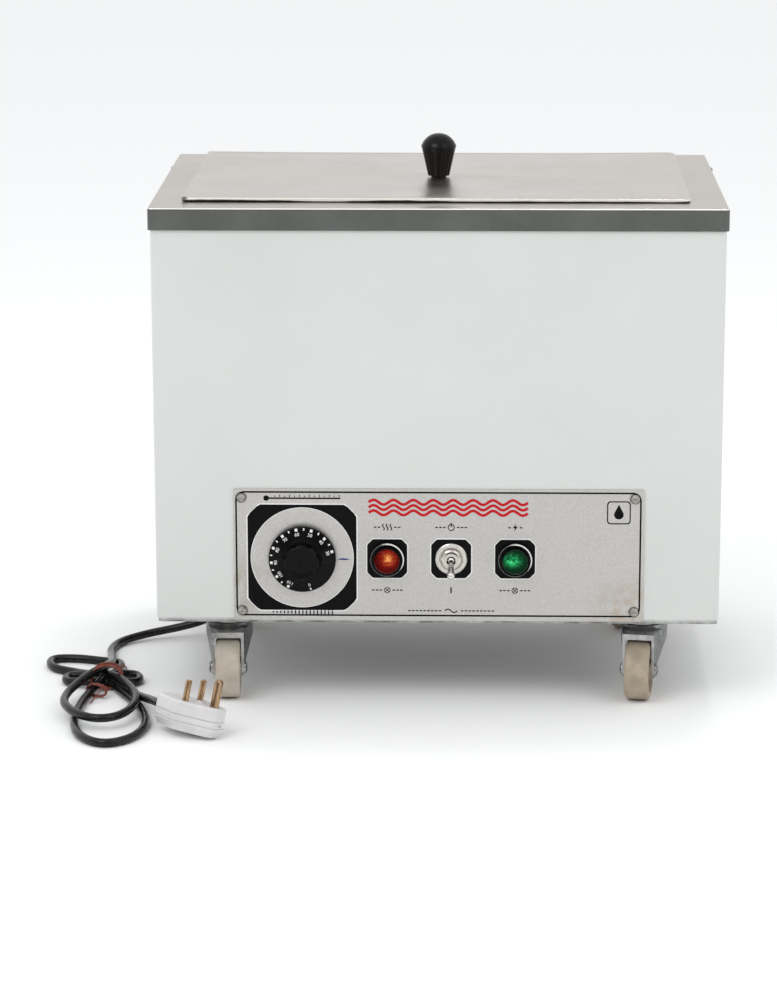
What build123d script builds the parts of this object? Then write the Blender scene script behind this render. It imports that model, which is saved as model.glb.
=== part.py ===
"""Floor-standing paraffin wax bath on casters: cabinet, tank, heater, controls, lid, lead and plug.

Millimetres, +Z up, +X to the right of the front, +Y to the back. The origin is on the floor,
under the middle of the whole object. Cabinet pieces are drawn about the cabinet's own middle
and moved back by CAB_Y when they are written. The lead and its plug are drawn in place.
"""
from build123d import *
import math
import os

# ---- driving dimensions ----------------------------------------------------------------
WIDTH, DEPTH = 457.0, 305.0          # painted cabinet, 18 in by 12 in
FLOOR_GAP = 70.0                     # height of the cabinet's underside, set by the casters
TOP_Z = 410.0                        # top face of the stainless cover
SHEET = 1.2                          # painted steel
STAINLESS = 1.0                      # cover, tank and lid
SKIRT_H, SKIRT_OUT = 17.8, 2.0       # the cover's folded edge
FOLD_R = 2.0                         # outside radius of a folded corner
TANK_X, TANK_Y, TANK_R = 370.0, 222.0, 18.0
TANK_MID_Y = 12.0                    # the tank sits a little behind the middle
TANK_FLOOR_Z = 205.0
LID_X, LID_Y, LID_H, LID_R = 407.0, 265.0, 3.2, 7.0
LID_MID = (-1.5, 9.5)
PANEL_X, PANEL_Z, PANEL_T = 332.0, 110.0, 1.0
PANEL_MID = (1.0, 127.0)             # x, z of the fascia's middle
DIAL = (-109.3, 124.2)
RED_LAMP, SWITCH, GREEN_LAMP = (-40.6, 124.0), (11.2, 124.0), (62.9, 124.0)
TOGGLE_REST_DEG = 16.0               # below the horizontal
TOGGLE_REACH = 31.0                  # tip of the lever in front of the fascia
CASTER_X, CASTER_Y, CASTER_MID_X = 171.0, 108.0, -2.0
TRAIL, WHEEL_R, WHEEL_W = 22.0, 25.0, 20.0
CASTER_YAW = {"fl": 2.0, "fr": -9.0, "rl": -8.0, "rr": -14.0}
LEAD_D = 7.0
FIT = 0.05                           # radial clearance of a running fit
GAP = 0.3                            # clearance between parts that move past each other

FRONT_Y, REAR_Y = -DEPTH / 2, DEPTH / 2
FACE_Y = FRONT_Y - PANEL_T           # front face of the fascia
HEAD_H, HEAD_R, SHANK_R = 2.4, 3.5, 1.9
FRONT_REACH = -FACE_Y + TOGGLE_REACH
REAR_REACH = REAR_Y + SKIRT_OUT + HEAD_H
CAB_Y = (FRONT_REACH - REAR_REACH) / 2
OUT_FRONT, OUT_BACK = (0, -1, 0), (0, 1, 0)
parts = {}


# ---- helpers ---------------------------------------------------------------------------
def block(x0, x1, y0, y1, z0, z1):
    """Box between two corners."""
    return Pos((x0 + x1) / 2, (y0 + y1) / 2, (z0 + z1) / 2) * Box(x1 - x0, y1 - y0, z1 - z0)


def rod(start, direction, radius, length):
    """Cylinder from a point along a direction."""
    return Solid.make_cylinder(radius, length, Plane(origin=start, z_dir=direction))


def cone(start, direction, r0, r1, length):
    return Solid.make_cone(r0, r1, length, Plane(origin=start, z_dir=direction))


def hexagon(start, direction, flats, length):
    """Hexagonal bar, such as a nut or a bolt head."""
    face = Plane(origin=start, z_dir=direction) * RegularPolygon(flats / 2, 6, major_radius=False)
    return extrude(face, length)


def slab(mid, size, radius, z0, z1):
    """Upright prism with rounded corners."""
    outline = Pos(mid[0], mid[1], z0) * RectangleRounded(size[0], size[1], radius)
    return extrude(outline, z1 - z0)


def turned(profile, origin, direction):
    """Solid turned from (radius, height) points about an axis through the origin point."""
    plane = Plane(origin=origin, z_dir=direction)
    face = Plane.XZ * make_face(Polyline(*profile, close=True))
    return plane.location * revolve(face, Axis.Z)


def ball(centre, radius):
    return Pos(*centre) * Sphere(radius)


def polar(radius, count, offset=0.0):
    """Evenly spaced points on a circle."""
    step = 2 * math.pi / count
    return [(radius * math.cos(offset + i * step), radius * math.sin(offset + i * step))
            for i in range(count)]


def pan_screw(point, outward, shank):
    """Pan-head screw whose head stands out of the surface at the point."""
    inward = tuple(-c for c in outward)
    head = turned([(0, 0), (HEAD_R, 0), (HEAD_R, HEAD_H * 0.5), (HEAD_R * 0.7, HEAD_H), (0, HEAD_H)],
                  point, outward)
    slot_at = [p + o * HEAD_H for p, o in zip(point, outward)]
    size = [HEAD_R * 2 if o == 0 else 1.6 for o in outward]
    size[2] = 0.9 if outward[2] == 0 else size[2]
    return head + rod(point, inward, SHANK_R, shank) - Pos(*slot_at) * Box(*size)


def corner_radii(points):
    """Largest smooth bend at each corner: 0.45 of the shorter run over tan(half the turn)."""
    radii = []
    for a, b, c in zip(points, points[1:], points[2:]):
        before, after = Vector(*b) - Vector(*a), Vector(*c) - Vector(*b)
        half_turn = math.radians(before.get_angle(after)) / 2
        radii.append(0.45 * min(before.length, after.length) / math.tan(half_turn))
    return radii


def tube(points, radius, radii):
    """Round tube along straight runs joined by arcs."""
    path = FilletPolyline(*points, radius=radii)
    section = Plane(origin=path @ 0, z_dir=path % 0) * Circle(radius)
    return sweep(section, path=path), path.length


def soft_tube(name, points, radius):
    """Stretch of the lead; prints its bends and compares its volume with section times length."""
    radii = corner_radii(points)
    solid, length = tube(points, radius, radii)
    share = solid.volume / (math.pi * radius ** 2 * length)
    bends = [round(r) for r in radii]
    print(f"{name}: length {length:.1f}, bend radii {bends}, volume share {share:.4f}")
    return solid


# ---- cabinet ---------------------------------------------------------------------------
def cabinet():
    wall = WIDTH / 2 - SHEET
    flange = 14.0
    top = TOP_Z - STAINLESS
    inside_r = FOLD_R - SHEET
    shell = slab((0, 0), (WIDTH, DEPTH), FOLD_R, FLOOR_GAP, top)
    shell -= slab((0, 0), (2 * wall, DEPTH - 2 * SHEET), inside_r, FLOOR_GAP - 1, top + 1)
    shell -= block(-wall + flange, wall - flange, REAR_Y - 5, REAR_Y + 5, FLOOR_GAP + flange, 385)
    x, z = PANEL_MID
    window_x, window_z = PANEL_X / 2 - 22, PANEL_Z / 2 - 14
    shell -= block(x - window_x, x + window_x, FRONT_Y - 5, FRONT_Y + 5, z - window_z, z + window_z)
    for side in (-1, 1):             # relief cut at the folded bottom corners
        shell -= Pos(side * WIDTH / 2, FRONT_Y, FLOOR_GAP) * Rot(0, 45, 0) * Box(6, 30, 6)
    for cx, cz in panel_corners():
        shell -= rod((cx, FRONT_Y - 5, cz), OUT_BACK, SHANK_R + FIT, 10)

    base_x, base_y = 2 * wall, DEPTH - 2 * SHEET
    base = slab((0, 0), (base_x, base_y), inside_r + 0.7, FLOOR_GAP, FLOOR_GAP + 15)
    base -= slab((0, 0), (base_x - 2 * SHEET, base_y - 2 * SHEET), 0.3, FLOOR_GAP + SHEET,
                 FLOOR_GAP + 20)
    base -= rod((GLAND_X, GLAND_Y, FLOOR_GAP - 1), (0, 0, 1), 8.0 + FIT, 5)
    for bx, by in caster_bolt_places():
        base -= rod((bx, by, FLOOR_GAP - 1), (0, 0, 1), 2.6, 5)
    for cx, cz in panel_corners():
        base -= rod((cx, FRONT_Y, cz), OUT_BACK, SHANK_R + FIT, 10)

    back = slab((0, 0), (WIDTH - 24, 306), 4, 0, STAINLESS)
    back = Pos(0, REAR_Y + STAINLESS, 233) * Rot(90, 0, 0) * back
    for row_z in (120, 310):
        for i in range(13):
            slot = Pos(-108 + 18 * i, REAR_Y, row_z) * Rot(90, 0, 0)
            back -= slot * extrude(SlotOverall(38, 5, rotation=90), 6, both=True)

    over_x, over_y = WIDTH / 2 + SKIRT_OUT, DEPTH / 2 + SKIRT_OUT
    corner_r = FOLD_R + SKIRT_OUT
    cover = slab((0, 0), (2 * over_x, 2 * over_y), corner_r, TOP_Z - SKIRT_H, TOP_Z)
    cover = fillet(cover.faces().sort_by(Axis.Z)[-1].edges(), 1.2)
    cover -= slab((0, 0), (2 * (over_x - STAINLESS), 2 * (over_y - STAINLESS)),
                  corner_r - STAINLESS, TOP_Z - SKIRT_H - 1, TOP_Z - STAINLESS)
    cover -= slab((0, TANK_MID_Y), (TANK_X, TANK_Y), TANK_R, TOP_Z - 5, TOP_Z + 5)

    screws = []
    cover_z, side_y = TOP_Z - 6.0, 95.0
    for side in (-1, 1):
        screws.append(pan_screw((side * over_x, side_y, cover_z), (side, 0, 0), 8))
        screws.append(pan_screw((side * 150, over_y, cover_z), OUT_BACK, 8))
        for z in (88, 233, 378):
            screws.append(pan_screw((side * 209, REAR_Y + STAINLESS, z), OUT_BACK, 7))
    for screw in screws:             # clearance holes for the shanks
        centre = screw.bounding_box().center()
        sideways = abs(centre.X) > over_x - 10
        start = (centre.X - 12, centre.Y, centre.Z) if sideways else (centre.X, centre.Y - 12, centre.Z)
        hole = rod(start, (1, 0, 0) if sideways else OUT_BACK, SHANK_R + FIT, 24)
        shell, back, cover = shell - hole, back - hole, cover - hole
    parts.update(cabinet_shell=shell, base_panel=base, rear_panel=back, top_cover=cover,
                 body_screws=Compound(screws))


# ---- tank, insulation, heater ----------------------------------------------------------
def tank_and_heater():
    mid = (0, TANK_MID_Y)
    under_cover = TOP_Z - STAINLESS
    tank = slab(mid, (TANK_X + 2, TANK_Y + 2), TANK_R + 1, TANK_FLOOR_Z, under_cover)
    tank = fillet(tank.faces().sort_by(Axis.Z)[0].edges(), 10)
    hollow = slab(mid, (TANK_X, TANK_Y), TANK_R, TANK_FLOOR_Z + STAINLESS, under_cover)
    hollow = fillet(hollow.faces().sort_by(Axis.Z)[0].edges(), 9)
    flange = slab(mid, (TANK_X + 26, TANK_Y + 26), TANK_R + 10, under_cover - STAINLESS, under_cover)
    parts["wax_tank"] = tank + flange - hollow

    wool = slab(mid, (TANK_X + 52, TANK_Y + 52), 24, TANK_FLOOR_Z + 12, 402)
    wool -= slab(mid, (TANK_X + 2, TANK_Y + 2), TANK_R + 1, TANK_FLOOR_Z, 410)
    parts["tank_insulation"] = wool

    plate_t, rod_r, leg_gap, legs = 3.0, 4.0, 30.0, 4
    plate_z = TANK_FLOOR_Z - plate_t
    spreader = slab(mid, (260, 150), 8, plate_z, TANK_FLOOR_Z)
    parts["heater_spreader"] = spreader

    z = plate_z - rod_r
    half, first = 108.0, TANK_MID_Y - leg_gap * (legs - 1) / 2
    path = [(-half - 30, first, z - 26), (-half - 30, first, z)]
    for i in range(legs):
        y, side = first + leg_gap * i, -1 if i % 2 == 0 else 1
        path += [(side * half, y, z), (-side * half, y, z)]
    del path[2]                      # the first leg runs straight on from the terminal
    last_y = first + leg_gap * (legs - 1)
    path[-1] = (-half - 30, last_y, z)
    path.append((-half - 30, last_y, z - 26))
    bends = [10.0] + [14.0] * (len(path) - 4) + [10.0]
    parts["heater_element"] = tube(path, rod_r, bends)[0]

    bar_t, stud_y = 2.0, leg_gap * 1.5 + 17
    bar_z = z - rod_r - bar_t
    clamps, nuts = [], []
    for x in (-70, 70):
        clamp = block(x - 7, x + 7, TANK_MID_Y - stud_y - 7, TANK_MID_Y + stud_y + 7,
                      bar_z, bar_z + bar_t)
        for side in (-1, 1):
            foot = (x, TANK_MID_Y + side * stud_y, bar_z - 9)
            clamp += rod(foot, (0, 0, 1), 3.0, plate_z - foot[2])
            seat = (x, foot[1], bar_z - 5)
            nuts.append(hexagon(seat, (0, 0, 1), 10, 5) - rod(seat, (0, 0, 1), 3.0 + FIT, 5))
        clamps.append(clamp)
    parts["heater_clamps"] = Compound(clamps)
    return nuts


# ---- thermostat and its dial -----------------------------------------------------------
def thermostat():
    x, z = DIAL
    body_back = FRONT_Y + 34
    body = block(x - 22, x + 22, FRONT_Y, body_back, z - 23, z + 23)
    body += rod((x, FRONT_Y, z), OUT_FRONT, 5.0, 4)
    body -= rod((x, FRONT_Y - 5, z), OUT_BACK, 3.0 + FIT, 25)
    for side in (-1, 1):             # spade terminals at the back
        body += block(x + side * 12 - 3, x + side * 12 + 3, body_back, body_back + 9, z - 0.4, z + 0.4)
    screws = []
    for side in (-1, 1):
        at = (x + side * 14, FACE_Y, z)
        screws.append(pan_screw(at, OUT_FRONT, 6))
        body -= rod((at[0], FRONT_Y - 1, z), OUT_BACK, SHANK_R + FIT, 8)
    parts["thermostat_body"] = body

    shaft_front = FACE_Y - 14
    parts["thermostat_shaft"] = rod((x, shaft_front, z), OUT_BACK, 3.0, 32)
    rise = HEAD_H + 0.4              # the skirt clears the screw heads
    skirt_r, grip_r = 27.3, 15.5
    profile = [(0, rise), (skirt_r, rise), (skirt_r, rise + 1.8), (skirt_r - 1, rise + 2.4),
               (18.2, rise + 4.8), (grip_r + 0.6, rise + 5.6), (grip_r, rise + 6.6),
               (grip_r - 1.1, rise + 14), (grip_r - 2.6, rise + 15.2), (9, rise + 14.6),
               (0, rise + 14.4)]
    knob = turned(profile, (x, FACE_Y, z), OUT_FRONT)
    lobe_r = 6.5                     # finger hollows round the grip
    for px, pz in polar(grip_r + 4.6, 8, math.radians(22.5)):
        knob -= rod((x + px, FACE_Y - rise - 7.5, z + pz), OUT_FRONT, lobe_r, 20)
    knob -= rod((x, FACE_Y, z), OUT_FRONT, 5.4, 5.5)
    knob -= rod((x, FACE_Y, z), OUT_FRONT, 3.0, 14)
    parts["thermostat_knob"] = knob

    bulb_x, bulb_r, bulb_y = -158.0, 4.0, -34.0
    bulb_z = TANK_FLOOR_Z - bulb_r
    bulb = rod((bulb_x, bulb_y, bulb_z), OUT_BACK, bulb_r, 78)
    parts["sensor_bulb"] = bulb
    exit_y, exit_z = FRONT_Y + 18, z + 23
    route = [(x, exit_y, exit_z), (x, exit_y, exit_z + 34), (bulb_x, exit_y + 20, exit_z + 44),
             (bulb_x, bulb_y - 34, bulb_z), (bulb_x, bulb_y, bulb_z)]
    parts["capillary_tube"] = tube(route, 1.0, [10, 12, 16])[0]
    clip_y = bulb_y + 39
    clip = block(bulb_x - 14, bulb_x + 14, clip_y - 6, clip_y + 6, bulb_z - 5.2, TANK_FLOOR_Z)
    clip -= rod((bulb_x, clip_y - 10, bulb_z), OUT_BACK, bulb_r, 20)
    clip -= block(bulb_x - bulb_r, bulb_x + bulb_r, clip_y - 10, clip_y + 10, bulb_z, TANK_FLOOR_Z)
    for side in (-1, 1):             # the strap's ears lie flat against the tank
        clip -= block(*sorted((bulb_x + side * 5.2, bulb_x + side * 20)), clip_y - 10, clip_y + 10,
                      bulb_z - 8, TANK_FLOOR_Z - 1.2)
    parts["bulb_clip"] = clip
    return screws


# ---- wiring floor ----------------------------------------------------------------------
BLOCK_AT = (20.0, 40.0)
STUD_AT = (80.0, 40.0)


def terminals():
    x, y = BLOCK_AT
    floor = FLOOR_GAP + SHEET
    body = block(x - 30, x + 30, y - 11, y + 11, floor, floor + 16)
    ways = [x - 20, x - 7, x + 7, x + 20]
    for wx in ways:
        body -= rod((wx, y - 12, floor + 7), OUT_BACK, 2.2, 24)
        body -= rod((wx, y, floor + 9), (0, 0, 1), 2.4, 10)
    screws = []
    for side in (-1, 1):             # fixing screws in the flanges at the ends
        at = (x + side * 26.5, y, floor + 16)
        body -= rod(at, (0, 0, -1), SHANK_R + FIT, 20)
        screws.append(pan_screw(at, (0, 0, 1), 14))
    parts["terminal_block"] = body
    sx, sy = STUD_AT
    stud = rod((sx, sy, floor), (0, 0, 1), 2.5, 16) + hexagon((sx, sy, floor), (0, 0, 1), 8, 4)
    stud += rod((sx, sy, floor + 6), (0, 0, 1), 5.0, 1)
    parts["earth_stud"] = stud + hexagon((sx, sy, floor + 7), (0, 0, 1), 8, 4)
    return screws


def wires():
    """Leads between the terminal block, switch, thermostat and heater."""
    r = 1.4
    x, y = BLOCK_AT
    deck = FLOOR_GAP + SHEET + 7
    sx, sz = SWITCH
    tx, tz = DIAL
    heat_z, heat_x, heat_y = TANK_FLOOR_Z - 33, -138.0, TANK_MID_Y
    behind_switch, behind_stat = FRONT_Y + 36, FRONT_Y + 43
    routes = [
        [(x - 7, y - 11, deck), (x - 7, y - 40, deck), (sx, behind_switch + 12, sz - 4),
         (sx, behind_switch, sz - 4)],
        [(x + 7, y - 11, deck), (x + 7, y - 34, deck), (GREEN_LAMP[0], FRONT_Y + 52, deck + 20),
         (GREEN_LAMP[0], FRONT_Y + 40, GREEN_LAMP[1]), (GREEN_LAMP[0], FRONT_Y + 30, GREEN_LAMP[1])],
        [(tx + 12, behind_stat, tz), (tx + 12, behind_stat + 24, tz),
         (heat_x, heat_y - 45, heat_z - 22), (heat_x, heat_y - 45, heat_z - 1)],
        [(x - 20, y + 11, deck), (x - 20, y + 30, deck), (heat_x, heat_y + 45, deck + 22),
         (heat_x, heat_y + 45, heat_z - 1)],
        [(RED_LAMP[0], FRONT_Y + 30, RED_LAMP[1]), (RED_LAMP[0], FRONT_Y + 44, RED_LAMP[1]),
         (tx + 40, FRONT_Y + 50, tz - 30), (tx - 12, behind_stat + 16, tz - 24),
         (tx - 12, behind_stat + 16, tz), (tx - 12, behind_stat, tz)],
    ]
    solids = [tube(route, r, [6.0] * (len(route) - 2))[0] for route in routes]
    parts["internal_wires"] = Compound(solids)


# ---- fascia, lamps and switch ----------------------------------------------------------
def panel_corners():
    return [(x, z) for x in (-158.5, 159.5) for z in (80.0, 174.5)]


def fascia():
    x, z = PANEL_MID
    plate = Pos(x, FRONT_Y, z) * Rot(90, 0, 0) * slab((0, 0), (PANEL_X, PANEL_Z), 2, 0, PANEL_T)
    holes = [(*DIAL, 5.0 + FIT), (*RED_LAMP, 6.5), (*GREEN_LAMP, 6.5), (*SWITCH, 6.0 + FIT)]
    holes += [(DIAL[0] + side * 14, DIAL[1], SHANK_R + FIT) for side in (-1, 1)]
    holes += [(cx, cz, SHANK_R + FIT) for cx, cz in panel_corners()]
    for hx, hz, radius in holes:
        plate -= rod((hx, FRONT_Y - 5, hz), OUT_BACK, radius, 10)
    parts["control_panel"] = plate
    parts["panel_screws"] = Compound([pan_screw((cx, FACE_Y, cz), OUT_FRONT, 9)
                                      for cx, cz in panel_corners()])


def lamps():
    lens_r, straight, dome, flange, flange_r = 10.4, 9.5, 5.5, 1.0, 12.6
    lens = [(0, flange), (lens_r, flange), (lens_r, straight)]
    lens += [(lens_r * math.cos(a), straight + dome * math.sin(a))
             for a in (math.radians(10 * i) for i in range(1, 9))]
    lens.append((0, straight + dome))
    bezel = [(flange_r, 0), (13.8, 0), (13.8, 5.0), (13.5, 5.7), (12.9, 5.7), (flange_r, 5.2)]
    collar = [(0, 0), (flange_r, 0), (flange_r, 3.4), (lens_r, 3.4), (lens_r, flange), (0, flange)]
    bezels, bodies, nuts = [], [], []
    for name, (x, z) in (("red_lens", RED_LAMP), ("green_lens", GREEN_LAMP)):
        at = (x, FACE_Y, z)
        parts[name] = turned(lens, at, OUT_FRONT)
        bezels.append(turned(bezel, at, OUT_FRONT))
        body = rod(at, OUT_BACK, 6.35, 16) + rod((x, FACE_Y + 16, z), OUT_BACK, 8.0, 14)
        bodies.append(body + turned(collar, at, OUT_FRONT))
        seat = (x, FRONT_Y, z)
        nuts.append(hexagon(seat, OUT_BACK, 17, 4) - rod(seat, OUT_BACK, 6.35 + FIT, 4))
    parts.update(lamp_bezels=Compound(bezels), lamp_bodies=Compound(bodies), lamp_nuts=Compound(nuts))


def toggle_switch():
    x, z = SWITCH
    pivot_out, bush_out, ball_r, bore_r, pin_r, pin_l = 4.0, 7.5, 3.5, 3.8, 1.2, 11.0
    body_y = FRONT_Y + 5
    body = block(x - 9, x + 9, body_y, FRONT_Y + 30, z - 15, z + 15)
    body += rod((x, body_y, z), OUT_FRONT, 6.0, body_y - FACE_Y + bush_out)
    body -= rod((x, FACE_Y - bush_out - 1, z), OUT_BACK, bore_r, bush_out + 1 + 3)
    pivot = (x, FACE_Y - pivot_out, z)
    body -= rod((x - 7, *pivot[1:]), (1, 0, 0), pin_r + FIT, 14)
    for dz in (-10, 10):
        body += block(x - 3, x + 3, FRONT_Y + 30, FRONT_Y + 38, z + dz - 0.4, z + dz + 0.4)
    parts["switch_body"] = body
    ring = [(6.1, 0), (12.85, 0), (12.85, 0.7), (12.2, 1.2), (9.6, 1.2), (9.2, 0.8), (6.1, 0.8)]
    parts["switch_ring"] = turned(ring, (x, FACE_Y, z), OUT_FRONT)
    front_nut = [(6.05, 0.8), (8.7, 0.8), (8.7, 2.6), (8.0, 3.6), (7.0, 4.2), (6.05, 4.2)]
    nut = turned(front_nut, (x, FACE_Y, z), OUT_FRONT)
    for px, pz in polar(8.9, 24):
        nut -= rod((x + px, FACE_Y - 0.9, z + pz), OUT_FRONT, 0.45, 2.0)
    seat = (x, FRONT_Y, z)
    rear_nut = hexagon(seat, OUT_BACK, 14, 3.5) - rod(seat, OUT_BACK, 6.05, 3.5)
    parts["switch_nuts"] = Compound([nut, rear_nut])

    reach = TOGGLE_REACH - pivot_out
    tip_r, neck_r = 3.1, 1.7
    length = (reach - tip_r) / math.cos(math.radians(TOGGLE_REST_DEG))
    tilt = math.radians(TOGGLE_REST_DEG)
    along = (0, -math.cos(tilt), -math.sin(tilt))
    tip = tuple(p + a * length for p, a in zip(pivot, along))
    lever = ball(pivot, ball_r) + cone(pivot, along, neck_r, tip_r, length) + ball(tip, tip_r)
    lever += rod((x - pin_l / 2, *pivot[1:]), (1, 0, 0), pin_r, pin_l)      # cross pin in the bushing
    parts["toggle_lever"] = lever


# ---- lid -------------------------------------------------------------------------------
def lid():
    mid, under = LID_MID, TOP_Z + LID_H - STAINLESS
    hem = 6.0
    sheet = slab(mid, (LID_X, LID_Y), LID_R, TOP_Z, TOP_Z + LID_H)
    sheet = fillet(sheet.faces().sort_by(Axis.Z)[-1].edges(), 0.8)
    sheet -= slab(mid, (LID_X - 2 * hem, LID_Y - 2 * hem), LID_R - hem + 1, TOP_Z - 1, under)
    knob_at = (-1.0, -4.0, TOP_Z + LID_H)
    sheet -= rod((knob_at[0], knob_at[1], under - 1), (0, 0, 1), 2.5 + FIT, 5)
    parts["lid_sheet"] = sheet

    profile = [(0, 0), (6.4, 0), (6.4, 1.6), (8.9, 1.6), (9.2, 2.4), (14.2, 24.9), (14.7, 25.9),
               (14.4, 26.9), (13.2, 29.3), (11.4, 31.7), (9.0, 33.9), (6.2, 35.5), (3.2, 36.4),
               (0, 36.7)]
    knob = turned(profile, knob_at, (0, 0, 1))
    base_r, top_r, flute_r, rise = 11.5, 16.4, 3.4, 21.8
    lean = math.atan2(top_r - base_r, rise)
    for px, py in polar(1.0, 10):
        foot = (knob_at[0] + px * base_r, knob_at[1] + py * base_r, knob_at[2] + 0.5)
        along = (px * math.sin(lean), py * math.sin(lean), math.cos(lean))
        knob -= rod(foot, along, flute_r, rise)
    knob -= rod(knob_at, (0, 0, 1), 2.5, 16)
    parts["lid_knob"] = knob
    screw = rod((knob_at[0], knob_at[1], under), (0, 0, 1), 2.5, 15)
    head_at = (knob_at[0], knob_at[1], under)
    screw += turned([(0, 0), (5.0, 0), (5.0, 1.3), (3.6, 2.2), (0, 2.2)], head_at, (0, 0, -1))
    parts["lid_knob_screw"] = screw


# ---- casters ---------------------------------------------------------------------------
BOLT_X, BOLT_Y = 21.5, 18.0


def caster_places():
    return {tag: (CASTER_MID_X + CASTER_X * (-1 if tag[1] == "l" else 1),
                  CASTER_Y * (-1 if tag[0] == "f" else 1)) for tag in CASTER_YAW}


def caster_bolt_places():
    return [(x + dx * BOLT_X, y + dy * BOLT_Y) for x, y in caster_places().values()
            for dx in (-1, 1) for dy in (-1, 1)]


RACE_Z, CROWN_Z, CROWN_T = FLOOR_GAP - 9.0, FLOOR_GAP - 15.8, 2.2
FORK_IN, LEG_T, AXLE_R = 10.9, 2.2, 4.0


def caster_plate():
    """Top plate with its pressed raceway and the kingpin that the fork turns on."""
    up, down = (0, 0, 1), (0, 0, -1)
    plate = slab((0, 0), (60, 50), 5, FLOOR_GAP - 2, FLOOR_GAP)
    plate += cone((0, 0, FLOOR_GAP - 2), down, 21.5, 19.5, 4)
    plate += rod((0, 0, FLOOR_GAP - 6), down, 16.5, FLOOR_GAP - 6 - RACE_Z)
    for dx in (-1, 1):
        for dy in (-1, 1):
            plate -= rod((dx * BOLT_X, dy * BOLT_Y, FLOOR_GAP - 3), up, 2.6, 5)
    head_t = 2.0
    head_z = CROWN_Z - GAP - head_t
    plate += rod((0, 0, RACE_Z), down, 4.0, RACE_Z - head_z)
    return plate + rod((0, 0, head_z), up, 7.0, head_t)


def leg_section(side, front, rear, flare, z):
    """Plan section of a leg, whose rear edge stands further out than its front edge."""
    inner, outer = side * FORK_IN, side * (FORK_IN + LEG_T)
    spread = side * flare
    corners = [(inner, front), (outer, front), (outer + spread, rear), (inner + spread, rear)]
    return make_face(Polyline(*[(x, y, z) for x, y in corners], close=True))


def caster_fork():
    """Pressed fork: crown with a front lip, bearing bowl, and two legs that flare to the rear."""
    front, rear, flare, crown_top = -TRAIL - 8, 12, 6.2, CROWN_Z + CROWN_T
    outer = FORK_IN + LEG_T
    plan = [(-outer, front), (outer, front), (outer + flare, rear), (12, rear + 6), (-12, rear + 6),
            (-outer - flare, rear)]
    crown = extrude(make_face(Polyline(*[(x, y, CROWN_Z) for x, y in plan], close=True)), CROWN_T)
    crown += block(-outer, outer, front, front + CROWN_T, CROWN_Z - 2.4, CROWN_Z + 0.1)
    crown += cone((0, 0, CROWN_Z), (0, 0, 1), 17.5, 19.5, RACE_Z - GAP - CROWN_Z)
    crown -= rod((0, 0, CROWN_Z - 1), (0, 0, 1), 4.0 + FIT, 20)
    eye_r, knee_z = 7.0, WHEEL_R + 20
    fork = crown
    for side in (-1, 1):
        top = leg_section(side, front, rear, flare, crown_top)
        knee = leg_section(side, front, rear, flare, knee_z)
        ankle = leg_section(side, -TRAIL - eye_r, -TRAIL + eye_r, 0, WHEEL_R)
        leg = loft([knee, top], ruled=True) + loft([ankle, knee], ruled=True)
        leg += rod((side * FORK_IN, -TRAIL, WHEEL_R), (side, 0, 0), eye_r, LEG_T)
        leg -= rod((side * outer, -TRAIL, WHEEL_R), (side, 0, 0), 5.8, 10)
        leg -= rod((side * (FORK_IN - 1), -TRAIL, WHEEL_R), (side, 0, 0), AXLE_R, LEG_T + 2)
        fork += leg
    return fork


def caster_axle():
    """Axle rivet with a low round head on each side of the fork."""
    outer, r, head_r = FORK_IN + LEG_T, AXLE_R - FIT, 5.4
    profile = [(0, -outer - 2.4), (3.4, -outer - 2.4), (head_r, -outer - 1.2), (head_r, -outer), (r, -outer)]
    profile += [(x, -z) for x, z in reversed(profile)]
    return turned(profile, (0, -TRAIL, WHEEL_R), (1, 0, 0))


def caster_wheel():
    """Moulded wheel with a hub a little longer than its tread, recessed on both sides."""
    half, hub, hub_r, rim_r = WHEEL_W / 2, FORK_IN - GAP, 8.5, 19.0
    tread = [(AXLE_R, -hub), (hub_r, -hub), (hub_r, -half + 4), (rim_r, -half + 4), (rim_r, -half),
             (WHEEL_R - 2.6, -half), (WHEEL_R - 0.8, -half + 0.9), (WHEEL_R, -half + 2.8)]
    tread += [(r, -w) for r, w in reversed(tread)]
    return turned(tread, (0, -TRAIL, WHEEL_R), (1, 0, 0))


def casters():
    bolts, nuts = [], []
    for tag, (x, y) in caster_places().items():
        swivel = Pos(x, y, 0) * Rot(0, 0, CASTER_YAW[tag])
        parts[f"caster_{tag}_plate"] = Pos(x, y, 0) * caster_plate()
        parts[f"caster_{tag}_fork"] = swivel * caster_fork()
        parts[f"caster_{tag}_axle"] = swivel * caster_axle()
        parts[f"caster_{tag}_wheel"] = swivel * caster_wheel()
    floor = FLOOR_GAP + SHEET
    for x, y in caster_bolt_places():
        head = (x, y, FLOOR_GAP - 2)
        bolt = hexagon(head, (0, 0, -1), 8, 3.2) + rod(head, (0, 0, 1), 2.5, 12)
        bolts.append(bolt)
        seat = (x, y, floor)
        nuts.append(hexagon(seat, (0, 0, 1), 8, 4) - rod(seat, (0, 0, 1), 2.5 + FIT, 4))
    parts["caster_bolts"] = Compound(bolts)
    return nuts


# ---- lead and plug ---------------------------------------------------------------------
GLAND_X, GLAND_Y, GLAND_Z = -54.0, 25.0, 60.0
BOOT_TIP_X = -92.0


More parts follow.
